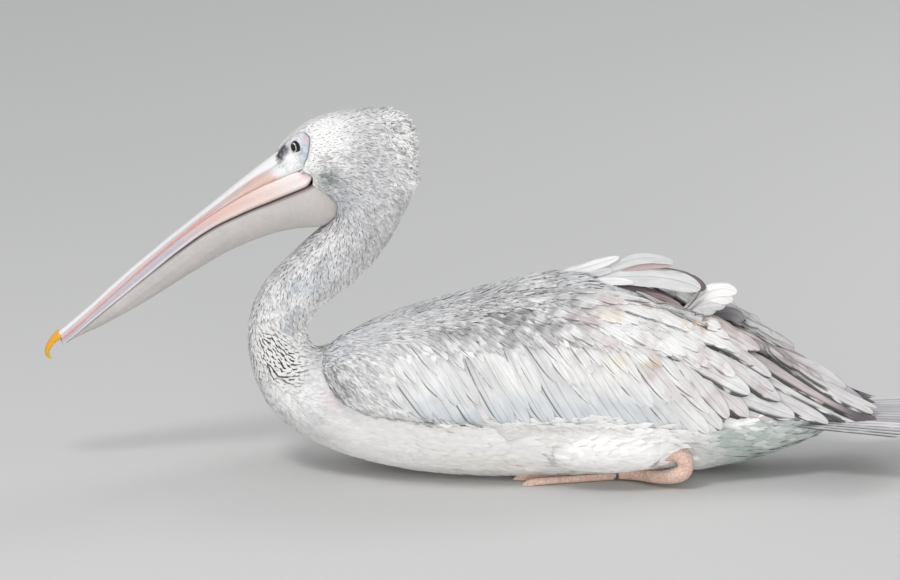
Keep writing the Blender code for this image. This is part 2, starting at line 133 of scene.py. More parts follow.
def band(value, low, full, falling, high):
    """1 from full to falling, 0 outside low and high."""
    return smooth(value, low, full) * fade(value, falling, high)


def unit(vectors):
    """Vectors of length one."""
    return vectors / np.maximum(np.linalg.norm(vectors, axis=-1, keepdims=True), 1e-12)


def folded(points):
    """x, the distance from the middle plane, and z."""
    return points[:, 0], np.abs(points[:, 1]), points[:, 2]


def lengths_along(points):
    """How far along a line each of its points lies."""
    return np.append(0, np.cumsum(np.linalg.norm(np.diff(points, axis=0), axis=1)))


def level(vectors, normals):
    """Unit vectors turned at right angles to the normals."""
    return unit(vectors - normals * (vectors * normals).sum(axis=-1, keepdims=True))


def bow(share, start, control, end):
    """Points at shares of the way along a curve that leans to a control point."""
    return (1 - share) ** 2 * start + 2 * share * (1 - share) * control + share * share * end


def wash(colours, other, share):
    """Moves colours towards another by a share of each, and gives them back."""
    colours += (other - colours) * np.clip(share, 0, 1)[:, None]
    return colours


def paint(names):
    """Colours of the palette by name, as linear arrays; a single name gives just that one."""
    palette = bpy.context.scene.pelican_colours
    found = [np.array(getattr(palette, name)[:3]) for name in names.split()]
    return found if len(found) > 1 else found[0]


def hump(*ways):
    """A bell, 1 where every way off its middle is 0 and nearly 0 beyond 2."""
    return np.exp(-sum(way**2 for way in ways))


def noise(points, size, seed=0):
    """Smooth random values from -1 to 1 that vary over size, for points in the same unit."""
    lattice = default_rng(seed).uniform(-1, 1, (32, 32, 32))
    scaled = np.asarray(points, float) / size + seed * 3.7
    cell = np.floor(scaled).astype(int)
    part = scaled - cell
    part = part * part * (3 - 2 * part)
    total = np.zeros(len(scaled))
    for corner in np.ndindex(2, 2, 2):
        i, j, k = ((cell + corner) % 32).T
        weight = np.prod(np.where(np.array(corner) == 1, part, 1 - part), axis=1)
        total += lattice[i, j, k] * weight
    return total


def table_at(table, position):
    """A table's columns at positions along its first column, smoothly between rows."""
    rows = np.array(table, float)
    fine = np.linspace(0, len(rows) - 1, len(rows) * 16)
    i = np.minimum(fine.astype(int), len(rows) - 2)
    f = (fine - i)[:, None]
    here, there = rows[i], rows[i + 1]
    before, after = rows[np.maximum(i - 1, 0)], rows[np.minimum(i + 2, len(rows) - 1)]
    h = f * f * (3 - 2 * f)
    curve = here * (1 - h) + there * h
    curve += (there - before) / 2 * f * (1 - f) ** 2 - (after - here) / 2 * f * f * (1 - f)
    return [np.interp(position, curve[:, 0], curve[:, c]) for c in range(1, rows.shape[1])]


def add_node(tree, kind, inputs=None, **settings):
    """Adds a node, sets its properties, and sets or links its inputs."""
    node = tree.nodes.new("ShaderNode" + kind)
    for name, value in settings.items():
        setattr(node, name, value)
    for name, value in (inputs or {}).items():
        if isinstance(value, bpy.types.NodeSocket):
            tree.links.new(value, node.inputs[name])
        else:
            node.inputs[name].default_value = value
    return node


def calc(tree, operation, *values, node="Math"):
    """The result of one sum on numbers or sockets."""
    return add_node(tree, node, dict(enumerate(values)), operation=operation).outputs[0]


def spread(tree, value, low=0.0, high=1.0, to_low=0.0, to_high=1.0):
    """A value's range from low to high, laid out from to_low to to_high and held there."""
    inputs = {"Value": value, "From Min": low, "From Max": high, "To Min": to_low, "To Max": to_high}
    return add_node(tree, "MapRange", inputs).outputs[0]


def pattern(tree, kind, place, scale, output="Fac", detail=None, **settings):
    """A noise or cell pattern at a place; its scale is one over its size in metres."""
    inputs = {"Vector": place, "Scale": scale}
    if detail is not None:
        inputs["Detail"] = detail
    return add_node(tree, f"Tex{kind}", inputs, **settings).outputs[output]


def painted(tree, name="tint", output="Color"):
    """A value that each of the mesh's points carries."""
    return add_node(tree, "Attribute", attribute_name=name).outputs[output]


def new_material(name, **surface):
    """A material with a Principled surface, whose sockets are set by name; returns both."""
    material = bpy.data.materials.new(name)
    material.use_nodes = True
    tree = material.node_tree
    tree.nodes.clear()
    settings = {key.replace("_", " "): value for key, value in surface.items()}
    shader = add_node(tree, "BsdfPrincipled", settings)
    add_node(tree, "OutputMaterial", {"Surface": shader.outputs[0]})
    return material, tree, shader


def surface_of(tree, shader, colour, shade=None, height=None, strength=0.5, depth=0.1):
    """Sets a surface's colour, times a shade, and its relief of a depth in mm."""
    if shade is not None:
        colour = add_node(
            tree, "VectorMath", {0: colour, "Scale": shade}, operation="SCALE"
        ).outputs[0]
    tree.links.new(colour, shader.inputs["Base Color"])
    if height is not None:
        inputs = {"Height": height, "Strength": strength, "Distance": depth * MM}
        bump = add_node(tree, "Bump", inputs)
        tree.links.new(bump.outputs[0], shader.inputs["Normal"])


def add_item(name, data):
    """A new object in the scene."""
    item = bpy.data.objects.new(name, data)
    bpy.context.scene.collection.objects.link(item)
    return item


def write_layer(mesh, name, kind, values, domain="POINT"):
    """Stores a value for each of a mesh's points or edges."""
    layer = mesh.attributes.new(name, kind, domain)
    key = {"FLOAT_COLOR": "color", "FLOAT_VECTOR": "vector"}.get(kind, "value")
    layer.data.foreach_set(key, values.ravel())


def write_tint(mesh, colours):
    """Stores the points' linear colours."""
    four = np.hstack([np.clip(colours, 0, 1)[:, :3], np.ones((len(colours), 1))])
    write_layer(mesh, "tint", "FLOAT_COLOR", four.astype(np.float32))


def read_mesh(mesh):
    """A mesh's points in millimetres, their normals, and its triangles."""
    mesh.calc_loop_triangles()
    found = []
    for rows, key, kind in (
        (mesh.vertices, "co", np.float32), (mesh.vertices, "normal", np.float32),
        (mesh.loop_triangles, "vertices", np.int32),
    ):
        values = np.empty(len(rows) * 3, kind)
        rows.foreach_get(key, values)
        found.append(values.reshape(-1, 3))
    return found[0].astype(float) / MM, found[1].astype(float), found[2]


def eased(bm, vertices, times):
    """Smooths a part of a mesh a number of times."""
    for _ in range(times):
        bmesh.ops.smooth_vert(bm, verts=vertices, factor=0.5, use_axis_x=True, use_axis_y=True, use_axis_z=True)


def mesh_object(name, vertices, loops, sizes, colours=None, vane=None, bake=None):
    """A smooth-shaded object from arrays: vertices in metres, polygon corners and sizes."""
    mesh = bpy.data.meshes.new(name)
    mesh.vertices.add(len(vertices))
    mesh.vertices.foreach_set("co", np.asarray(vertices, np.float32).ravel())
    mesh.loops.add(len(loops))
    mesh.loops.foreach_set("vertex_index", np.asarray(loops, np.int32))
    mesh.polygons.add(len(sizes))
    starts = np.concatenate(([0], np.cumsum(sizes)[:-1]))
    mesh.polygons.foreach_set("loop_start", starts.astype(np.int32))
    mesh.update(calc_edges=True)
    mesh.shade_smooth()
    if colours is not None:
        write_tint(mesh, colours)
    if vane is not None:
        write_layer(mesh, "vane", "FLOAT_VECTOR", vane.astype(np.float32))
    if bake is not None:
        layer = mesh.uv_layers.new(name="OFBake")
        layer.data.foreach_set("uv", np.asarray(bake, np.float32)[loops].ravel())
    mesh.validate()
    return add_item(name, mesh)


def settle(item, material, slot, *replaced):
    """Gives a piece its material, its body, its slot and the solids that it stands for."""
    item.data.materials.append(material)
    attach(item, "root")
    if replaced:
        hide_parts(*replaced)
    return item


def triangles_of(*names):
    """The vertices, in millimetres, and triangles of CAD nodes, and each triangle's node."""
    meshes = [read_mesh(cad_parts[name].data) for name in names]
    starts = np.cumsum([0] + [len(points) for points, _, _ in meshes])
    faces = [corners + start for (_, _, corners), start in zip(meshes, starts)]
    owners = np.repeat(np.arange(len(names)), [len(part) for part in faces])
    return np.concatenate([points for points, _, _ in meshes]), np.concatenate(faces), owners


def tree_of(vertices, faces):
    """A search tree over triangles."""
    return BVHTree.FromPolygons(vertices.tolist(), faces.tolist())


def nearest(tree, points):
    """The nearest surface points, their normals and triangle numbers."""
    found = [tree.find_nearest(Vector(p)) for p in points]
    places = np.array([f[0] for f in found])
    normals = np.array([f[1] for f in found])
    return places, normals, np.array([f[2] for f in found])


def midline_at(points):
    """Distances from the bill's base along the body, and the ways to tail and back there."""
    rows = np.array(MIDLINE, float)
    fine = np.linspace(0, len(rows) - 1, 170)
    i = np.minimum(fine.astype(int), len(rows) - 2)
    f = (fine - i)[:, None]
    rows = rows[i] * (1 - f) + rows[i + 1] * f
    centre = np.zeros((len(rows), 3))
    centre[:, 0], centre[:, 2] = (rows[:, 0] + rows[:, 2]) / 2, (rows[:, 1] + rows[:, 3]) / 2
    back = np.zeros_like(centre)
    back[:, 0], back[:, 2] = rows[:, 2] - rows[:, 0], rows[:, 3] - rows[:, 1]
    ahead = unit(np.gradient(centre, axis=0))
    travelled = lengths_along(centre)
    place, tail_way, back_way = [], [], []
    for block in np.array_split(points, max(1, len(points) // 20000)):
        gap = ((block[:, None, :] - centre[None]) ** 2).sum(axis=2)
        weight = 1 / (gap + 60.0) ** 4
        weight /= weight.sum(axis=1, keepdims=True)
        place.append(weight @ travelled)
        tail_way.append(weight @ ahead)
        back_way.append(weight @ unit(back))
    return np.concatenate(place), unit(np.concatenate(tail_way)), unit(np.concatenate(back_way))


def fold_at(z):
    """x of the fold behind the bare face at heights z."""
    fold_x, fold_z = zip(*reversed(FACE_FOLD))
    return np.interp(z, fold_z, fold_x)


def bareness(points):
    """1 on the bare skin of the face and lores, 0 where the head is feathered."""
    x, side, z = folded(points)
    behind = np.where(z > 376, -236 - (z - 376) * 2.2, fold_at(z))
    ridge = smooth(side, 4 + 0.25 * (x + 262), 8 + 0.25 * (x + 262))
    front = 1 - smooth(x - behind, -1.2, 1.2)
    above_gape = smooth(z - 0.45 * (x + 232), 320, 324)
    return front * above_gape * np.where(x < -262, 1, ridge)


def markings(points, normals):
    """The plumage's and the skin's colours at points of the body, as linear colours."""
    place, _, back_way = midline_at(points)
    x, side, z = folded(points)
    upward = (normals * back_way).sum(axis=1)
    white, pale, grey, dark, blue = paint("white pale grey dark blue")
    cream, green = paint("cream"), paint("green")

    fine, broad = noise(points, 2.6, 1), noise(points, 17, 2)
    colour = np.tile(white, (len(points), 1))
    neck = band(place, 70, 105, 390, 440)
    wash(colour, pale, neck * (0.5 + 0.25 * broad))
    hind = neck * hump((upward - 0.05) / 0.45)
    wash(colour, blue, hind * (0.3 + 0.5 * broad) * fade(place, 250, 420))
    neck = neck * fade(z + x * 0.2, 335, 347)
    wash(colour, grey, neck * fade(place, 340, 425) * np.clip(fine * 1.7 + 0.25 + 0.3 * broad, 0, 1) * 0.55)
    # grey flecks behind the face and on the nape, round a white crown
    cheek = smooth(x, -226, -214) * fade(z - 0.12 * (x + 180), 355, 370) * fade(place, 150, 200)
    wash(colour, grey, cheek * np.clip(noise(points, 2.3, 3) * 1.8 + 0.3, 0, 1) * 0.6)
    patch = hump((x + 205) / 14, (z - 329) / 12) * smooth(side, 8, 20)
    wash(colour, green * 0.42, patch * (0.95 + 0.6 * fine))
    below = hump((x + 190) / 16, (z - 306) / 20) * smooth(side, 8, 20)
    wash(colour, blue * 0.75, below * (0.7 + 0.4 * fine))
    streak = np.abs(z - 371 - (x + 175) * 0.42) < 1.6
    streak = streak * smooth(x, -185, -175) * fade(x, -148, -140) * smooth(side, 8, 14)
    wash(colour, dark, streak * 0.55)
    nape = hump((x + 137) / 11, (z - 374) / 16) * smooth(side, 3, 8)
    wash(colour, dark, nape * np.clip(noise(points, 4, 5) * 2.2 - 0.3, 0, 1) * 0.8)
    # the ruffled bend of the lower neck, greyed for its dark roots and as painted shade in the gaps between its
    # ridges
    wash(colour, grey, smooth(ruffle(points), 0.35, 0.9) * 0.85)
    breast = smooth(place, 470, 540) * fade(x, -120, 60)
    wash(colour, cream, breast * np.clip(0.1 + 0.6 * noise(points, 24, 7), 0, 0.4))
    blush = hump((x + 213) / 13, (z - 92) / 12)
    wash(colour, paint("blush"), blush * 0.22)
    # painted shade: greenish grey on the feathers under the tail, where they lie in shade
    vent = smooth(x, 150, 215) * fade(z, 60, 80)
    wash(colour, green * 0.85, vent * (0.85 + 0.2 * broad))
    mantle = smooth(x, -215, -160) * smooth(z, 122, 150) * fade(side, 50, 75)
    wash(colour, pale, mantle * 0.7)
    wash(colour, grey, mantle * np.clip(0.45 + fine, 0, 1) * 0.6)
    bare = bareness(points)
    skin = np.tile(paint("face"), (len(points), 1))
    wash(skin, blue, smooth(x, -242, -230) * 0.75 + 0.15 * broad)
    lores = hump(((x + 256.8) - (z - 354) * 0.3) / 7.0, (z - 354) / 8.6)
    wash(skin, paint("lores"), 2.3 * lores * (0.95 + 0.45 * noise(points, 3.2, 8)) - 0.35)
    wash(skin, grey, np.clip(0.12 + 0.5 * noise(points, 1.9, 9), 0, 0.5))
    under_eye = hump((x + 247.5) / 5.5, (z - 350) / 4.2)
    wash(skin, white * 1.05, under_eye)
    # painted shade, greenish, under the lower lid
    shade = hump((x + 236.4) / 4, (z - 355.5) / 2.2)
    wash(skin, green * 0.8, shade * 0.6)
    spot = hump((x + 231) / 3.2, (z - 369.5) / 3.2)
    wash(skin, paint("blush"), spot * 0.7)
    # painted shade: a dark line along the fold behind the bare face
    line = hump((x - fold_at(z) + 0.6) / 0.9)
    line *= band(z, 340, 346, 375, 379) * smooth(side, 8, 12)
    wash(skin, dark * 0.55, line * 0.95)
    # painted shade in the fold of feathers that runs round the gape
    gape = (x + 229.6) * 0.71 + (z - 332.6) * 0.71
    gape = hump(gape / 1.3) * smooth(x, -237, -234) * fade(x, -225, -221) * smooth(side, 14, 18)
    wash(colour, dark, gape * 0.6)
    return wash(colour, skin, bare)


def ruffle(points):
    """1 in the middle of the ruffled patch low on the neck's sides, 0 away from it."""
    x, z = points[:, 0] + 263, points[:, 2] - 133
    along, across = x * 0.5 - z * 0.87, x * 0.87 + z * 0.5
    return np.exp(-(((along / 34) ** 2 + (across / 19) ** 2) ** 1.5)) * smooth(np.abs(points[:, 1]), 8, 20)


def build_guide():
    """One closed surface round all the flesh, at the level of the plumage's outside."""
    vertices, faces, owners = triangles_of(*FLESH, "eye_left", "eye_right")
    item = mesh_object("guide", vertices * MM, faces.ravel(), np.full(len(faces), 3))
    bm = bmesh.new()
    bm.from_mesh(item.data)
    bmesh.ops.remove_doubles(bm, verts=bm.verts, dist=0.00002)
    bmesh.ops.recalc_face_normals(bm, faces=bm.faces)
    bm.normal_update()
    for vertex, normal in [(v, v.normal.copy()) for v in bm.verts]:
        vertex.co += normal * GROWTH * MM
    bm.to_mesh(item.data)
    bm.free()
    remesh = item.modifiers.new("one surface", "REMESH")
    remesh.mode = "VOXEL"
    remesh.voxel_size = 0.0033
    ease = item.modifiers.new("ease", "SMOOTH")
    ease.factor, ease.iterations = 0.5, 5
    shape = bpy.data.meshes.new_from_object(item.evaluated_get(bpy.context.evaluated_depsgraph_get()))
    bpy.data.objects.remove(item)
    bm = bmesh.new()
    bm.from_mesh(shape)
    # the step between the shoulders and the neck is eased away
    near = ((-0.262, -0.206), (0.012, 0.066), (0.1, 0.14))
    crease = [v for v in bm.verts if all(a < c < b for (a, b), c in zip(near, (v.co.x, abs(v.co.y), v.co.z)))]
    eased(bm, crease, 60)
    bm.to_mesh(shape)
    bm.free()
    points, normals, triangles = read_mesh(shape)
    points = points - normals * GROWTH
    centres = points[triangles].mean(axis=1)
    flesh = tree_of(vertices, faces[owners < len(FLESH)])
    made["guide"] = {
        "mesh": shape, "points": points, "normals": normals, "triangles": triangles,
        "owner": owners[nearest(flesh, centres)[2]], "tree": tree_of(points, triangles),
    }


def coat_depth(points):
    """How far the skin lies under the coat's outside, in millimetres."""
    depth = np.interp(midline_at(points)[0], (0, 40, 110, 200, 480, 620), (0.9, 1.0, 1.2, 2.0, 2.8, 4.5))
    x, side = points[:, 0], np.abs(points[:, 1])
    depth *= 1 - 0.5 * smooth(x, -225, -200) * fade(x, -150, -110) * smooth(side, 45, 65)
    depth = depth + 10 * hollow_back(points)
    return depth * (1 - bareness(points)) + 0.25 * bareness(points)


def hollow_back(points):
    """1 in the hollow between the wings, where the raised feathers spring from."""
    x, side, z = folded(points)
    along = band(x, 52, 85, 190, 225)
    return along * fade(side, 36, 47) * smooth(z, 150, 180)


def eye_axes(side, ahead):
    """An eyeball's centre, then the ways out of it, down and across, as unit vectors;
    ahead turns it to the front."""
    outwards = unit(np.array((-ahead, side * 1.0, 0.12)))
    down = unit(np.array((0.27, 0.0, -1.0)))
    down = unit(down - outwards * (down @ outwards))
    return np.array((EYE[0], side * EYE[1], EYE[2])), outwards, down, np.cross(outwards, down)


def shape_lids(points, normals):
    """Moves the skin round each eye into lids, an eye ring and the folds of the face."""
    for side in (-1, 1):
        centre, outwards, down, forwards = eye_axes(side, 0.04)
        local = points - centre
        u, v, w = local @ forwards, local @ down, local @ outwards
        near = (w > 0) & (np.hypot(u, v) < 22)
        reach = np.hypot(u / LIDS[0], v / LIDS[1])
        ball = np.sqrt(np.maximum(EYE_RADIUS**2 - u * u - v * v, 6.0))
        inside = ball - 1.0 - 3.5 * (1 - reach)
        rim = ball + 0.75 - 1.6 * (reach - 1.17) ** 2 * 10
        ring = hump((reach - 1.62) / 0.16) * 0.35
        crease = -hump((reach - 1.42) / 0.07) * 0.45
        crease -= hump((reach - 2.05) / 0.1) * 0.22
        lid = np.where(reach < 1.03, inside, rim)
        share = 1 - smooth(reach, 1.22, 2.1)
        goal = np.where(reach < 1.22, lid, w * (1 - share) + (ball + 0.6) * share)
        goal = goal + ring + crease
        points[near] += outwards * (goal - w)[near, None]
    side = np.abs(points[:, 1])
    gap = points[:, 0] - fold_at(points[:, 2])
    on_side = band(points[:, 2], 336, 344, 375, 380) * smooth(side, 8, 12)
    groove = -0.9 * hump(gap / 0.8) + 0.35 * hump((gap + 2.2) / 1.3)
    wrinkle = 0.12 * np.sin(points[:, 0] * 2.1 + noise(points, 6, 11) * 3) * noise(points, 5, 12)
    bare = bareness(points)
    move = groove * on_side + (wrinkle + 0.1 * noise(points, 1.6, 13)) * bare
    points += normals * move[:, None]


def make_skin():
    """The skin: the guide drawn in by the coat's depth, finer and folded on the face."""
    guide = made["guide"]
    points = guide["points"] - guide["normals"] * coat_depth(guide["points"])[:, None]
    points[:, 2] = np.maximum(points[:, 2], 0.2)
    guide["mesh"].vertices.foreach_set("co", (points * MM).astype(np.float32).ravel())
    bm = bmesh.new()
    bm.from_mesh(guide["mesh"])

    def face_area(vertex):
        x, _, z = vertex.co / MM
        return x < -217 and z > 316

    for cuts in (2, 1):
        edges = [e for e in bm.edges if all(face_area(v) for v in e.verts)]
        bmesh.ops.subdivide_edges(bm, edges=edges, cuts=cuts, use_grid_fill=True)
    region = [v for v in bm.verts if face_area(v) and not v.is_boundary]
    eased(bm, region, 6)
    bmesh.ops.triangulate(bm, faces=[f for f in bm.faces if len(f.verts) > 4])
    bm.normal_update()
    places = np.array([v.co for v in region]) / MM
    normals = np.array([v.normal for v in region])
    shape_lids(places, normals)
    for vertex, place in zip(region, places):
        vertex.co = place * MM
    mesh = bpy.data.meshes.new("skin")
    bm.to_mesh(mesh)
    bm.free()
    mesh.shade_smooth()
    co, no, _ = read_mesh(mesh)
    colours = markings(co, no)
    wash(colours, paint("lid"), lid_darkness(co))
    # painted shade: where feathers cover the skin, it is painted 12 % darker, as the shade under the coat
    write_tint(mesh, colours * (1 - (1 - bareness(co))[:, None] * 0.12))
    settle(add_item("skin", mesh), skin_material(), "plumage", *FLESH)


def lid_darkness(points):
    """1 on the dark rims of the eyelids."""
    dark = np.zeros(len(points))
    for side in (-1, 1):
        centre, outwards, down, forwards = eye_axes(side, 0.04)
        local = points - centre
        reach = np.hypot(local @ forwards / LIDS[0], local @ down / LIDS[1])
        reach = np.where(local @ outwards > 0, reach, 9)
        dark = np.maximum(dark, 1 - smooth(reach, 1.1, 1.27))
    return dark


def skin_material():
    """Bare face skin: soft, slightly oily, with a fine pebbled grain of 0.6 mm."""
    material, tree, shader = new_material(
        "bare facial skin", Roughness=0.48, IOR=1.4, Subsurface_Weight=0.12,
        Subsurface_Scale=0.004, Subsurface_Radius=(1.0, 0.45, 0.3),
    )
    place = add_node(tree, "TexCoord").outputs["Object"]
    grain = pattern(tree, "Voronoi", place, 1 / (0.6 * MM), "Distance")
    veins = pattern(tree, "Noise", place, 1 / (5 * MM), detail=5.0)
    surface_of(tree, shader, painted(tree), spread(tree, veins, to_low=0.86, to_high=1.08), grain, 0.25, 0.15)
    return material


# Outlines of a feather's section, (across, height): from one edge over the top and back.
TUFT = ((-1, 0), (0, 1), (1, 0))
VANE = ((-1, 0), (-0.45, 0.7), (0, 1), (0.45, 0.7), (1, 0), (0, -0.6))
QUILLED = (
    (-1, 0), (-0.55, 0.6), (-0.1, 0.7), (0, 1.6), (0.1, 0.7), (0.55, 0.6), (1, 0), (0, -0.7)
)


def strip_quads(rings, sides):
    """Corners of the quads between closed rings of points."""
    r, j = np.meshgrid(np.arange(rings - 1), np.arange(sides), indexing="ij")
    k = (j + 1) % sides
    return np.stack([r * sides + j, (r + 1) * sides + j, (r + 1) * sides + k, r * sides + k], -1)


def grid_cells(count, wide=None):
    """Corners of square cells, one for each feather, and the cells' number to a side."""
    wide = wide or max(1, math.ceil(math.sqrt(count)))
    order = np.arange(count)
    return np.column_stack([(order % wide) / wide, (order // wide) / wide]) * 0.995, wide


def vane_mesh(name, centre, across, normal, half, thick, outline, colours, tuck, cells, patch, seed=0):
    """Joins feathers into one piece. Each feather is a closed leaf with its rings along
    centre; tuck lifts one edge, in mm, so that each lies over the next."""
    count, rings = centre.shape[0], centre.shape[1] - 1
    outline = np.array(outline, float)
    sides = len(outline)
    a, h = outline[:, 0], outline[:, 1]
    body = centre[:, :rings, None, :]
    spread = across[:, :rings, None, :] * (half[:, :rings, None] * a)[..., None]
    ease = np.minimum(half[:, :rings] / np.maximum(half.max(axis=1), 1e-6)[:, None], 1)
    thick, tuck = (np.broadcast_to(value, count)[:, None, None] for value in (thick, tuck))
    height = thick * h * ease[..., None]
    height = height + (tuck * a * ease[..., None]) - 0.12 * (half[:, :rings, None] * a * a)
    points = body + spread + normal[:, :rings, None, :] * height[..., None]
    points = points.reshape(count, rings * sides, 3)
    points = np.hstack([points, centre[:, -1:, :]])
    per = rings * sides + 1
    j = np.arange(sides)
    last = (rings - 1) * sides
    tips = np.stack([last + j, np.full(sides, per - 1), last + (j + 1) % sides], -1)
    loops = np.concatenate([strip_quads(rings, sides).ravel(), tips.ravel(), j])
    sizes = np.concatenate([np.full((rings - 1) * sides, 4), np.full(sides, 3), [sides]])
    loops = (loops[None] + np.arange(count)[:, None] * per).ravel()
    travelled = np.linalg.norm(np.diff(centre, axis=1), axis=2).cumsum(axis=1)
    travelled = np.hstack([np.zeros((count, 1)), travelled])
    share = travelled / travelled[:, -1:]
    chance = default_rng(seed + 5).random(count)

    def per_vertex(ring_values, tip_values):
        flat = np.broadcast_to(ring_values, (count, rings, sides)).reshape(count, -1)
        return np.hstack([flat, np.broadcast_to(tip_values, (count,))[:, None]]).ravel()

    vane = np.column_stack([
        per_vertex(a[None, None], 0.0),
        per_vertex(travelled[:, :rings, None], travelled[:, -1]),
        per_vertex(chance[:, None, None], chance)])
    u, v = cells.T
    bake = np.column_stack([
        per_vertex(u[:, None, None] + patch * (0.5 + 0.45 * a), u + patch * 0.5),
        per_vertex(v[:, None, None] + patch * (0.05 + 0.9 * share[:, :rings, None]), v + patch * 0.95)])
    tint = np.repeat(colours[:, :rings], sides, axis=1)
    tint = np.hstack([tint, colours[:, -1:]]).reshape(-1, 3)
    points = points.reshape(-1, 3)
    points[:, 2] = np.maximum(points[:, 2], 0.15)
    item = mesh_object(name, points * MM, loops, np.tile(sizes, count), tint, vane, bake)
    # the two rims are sharp, so that a feather reads as a thin blade
    ends = np.empty(len(item.data.edges) * 2, np.int32)
    item.data.edges.foreach_get("vertices", ends)
    ends = ends.reshape(-1, 2) % per
    rim = np.append(np.tile(np.abs(a) > 0.99, rings), True)
    along = (ends % sides)[:, 0] == (ends % sides)[:, 1]
    sharp = rim[ends].all(axis=1) & (along | (ends == per - 1).any(axis=1))
    write_layer(item.data, "sharp_edge", "BOOLEAN", sharp, "EDGE")
    return item


def skin_cells(points, normals, patch):
    """Where roots fall on an unwrap of the skin: along the midline and round it."""
    place, _, back_way = midline_at(points)
    turn = np.arccos(np.clip((normals * back_way).sum(axis=1), -1, 1)) / (2 * math.pi)
    cells = np.column_stack([place, 0.5 + np.sign(points[:, 1]) * turn])
    low, high = cells.min(axis=0), cells.max(axis=0)
    return (cells - low) / np.maximum(high - low, 1e-6) * (1 - patch)


def scatter(wanted, spacing, seed):
    """Random points of the guide, about one for each cell of the local spacing."""
    guide = made["guide"]
    corners = guide["points"][guide["triangles"]]
    centres = corners.mean(axis=1)
    area = np.linalg.norm(np.cross(corners[:, 1] - corners[:, 0], corners[:, 2] - corners[:, 0]), axis=1) / 2
    rng = default_rng(seed)
    weight = area * wanted(centres, guide["owner"]) / spacing(centres) ** 2
    total = weight.sum()
    chosen = rng.choice(len(weight), int(total * 3), p=weight / total)
    b, c = rng.random(len(chosen)), rng.random(len(chosen))
    flip = b + c > 1
    b, c = np.where(flip, 1 - b, b), np.where(flip, 1 - c, c)
    mix = np.column_stack([1 - b - c, b, c])[..., None]
    points = (corners[chosen] * mix).sum(axis=1)
    normals = unit((guide["normals"][guide["triangles"][chosen]] * mix).sum(axis=1))
    size = np.round(np.log(spacing(points)) / math.log(1.15))
    cell = np.floor(points / (1.15**size)[:, None])
    _, first = np.unique(np.column_stack([size, cell]), axis=0, return_index=True)
    return points[first], normals[first]


def lay(roots, normals, way, length, depth, lift, rings):
    """Centre lines, directions across and normals of tufts that start in the skin."""
    way = level(way, normals)
    tip, tip_normal, _ = nearest(made["guide"]["tree"], roots + way * length[:, None])
    tip_normal *= np.sign((tip_normal * normals).sum(axis=1) + 1e-9)[:, None]
    tip_normal = unit(tip_normal + normals * 0.6)
    tip = tip + tip_normal * lift[:, None]
    start = roots - normals * depth[:, None]
    control = roots + way * (length * 0.5)[:, None] + normals * (lift * 0.55 + 0.2)[:, None]
    s = np.linspace(0, 1, rings)[None, :, None]
    centre = bow(s, start[:, None], control[:, None], tip[:, None])
    ahead = unit(np.gradient(centre, axis=1))
    normal = (1 - s) * normals[:, None] + s * tip_normal[:, None]
    normal = level(normal, ahead)
    return centre, np.cross(normal, ahead), normal


def feather_material(name, pitch, shaft, gap, fringe, roughness=0.82, bump=0.5, streak=0.88, lines=(1e5, 1e5),
                     edge=(-1.0, -0.66), band=9.0):
    """Feather keratin: matt barbs with a soft sheen, and a smooth shaft down the middle.
    The barbs, 0.3 to 0.6 mm apart on the bird, are drawn at pitch mm so that they show;
    shaft is half the shaft's width as a share of the vane; gap darkens parts of the edge
    across from edge[0] to edge[1], most between lines mm from the root; fringe brightens
    the rim and streak darkens lines along the vane."""
    material, tree, shader = new_material(
        name, Roughness=roughness, IOR=1.54, Sheen_Weight=0.25, Sheen_Roughness=0.5
    )
    vane = painted(tree, "vane", "Vector")
    across, run, chance = add_node(tree, "SeparateXYZ", {0: vane}).outputs
    side = calc(tree, "ABSOLUTE", across)
    slant = calc(tree, "MULTIPLY_ADD", side, -3.2, run)
    barbs = calc(tree, "SINE", calc(tree, "MULTIPLY", slant, 2 * math.pi / pitch))
    stretch = calc(tree, "MULTIPLY", vane, (2.6, 0.045, 90.0), node="VectorMath")
    broken = pattern(tree, "Noise", stretch, 1.0, detail=2.0)
    split = broken
    for place, rise in ((lines[0] - 8, 0.1), (lines[1], -0.1)):
        split = calc(tree, "SUBTRACT", split, spread(tree, run, place, place + 8, 0.0, rise))
    # painted shadow, with the feathers' dark edges, along the tucked edge
    tucked = spread(tree, across, *edge, spread(tree, split, 0.44, 0.56, gap, 1.0), 1.0)
    beyond = spread(tree, across, edge[0] - band, edge[0] - band + 0.1, 1.0, 0.0)
    factors = (
        spread(tree, barbs, -1.0, 1.0, 0.93, 1.03),
        spread(tree, side, shaft, shaft * 2.2 + 0.01, 0.7 if shaft else 1.0),
        calc(tree, "MAXIMUM", tucked, beyond),
        # below 1, fringe paints a dark shadow line round the rim
        spread(tree, side, 0.55 if fringe >= 1 else 0.84, 0.95, 1.0, fringe),
        spread(tree, chance, to_low=0.96, to_high=1.03),
        spread(tree, broken, 0.3, 0.65, streak, 1.03),
    )
    total = factors[0]
    for factor in factors[1:]:
        total = calc(tree, "MULTIPLY", total, factor)
    surface_of(tree, shader, painted(tree), total, barbs, bump, 0.12)
    return material


def ring_colours(base, tip, share):
    """Colours along each feather, from its base to its tip by a share for each ring."""
    share = share[None, :, None]
    return base[:, None, :] * (1 - share) + tip[:, None, :] * share


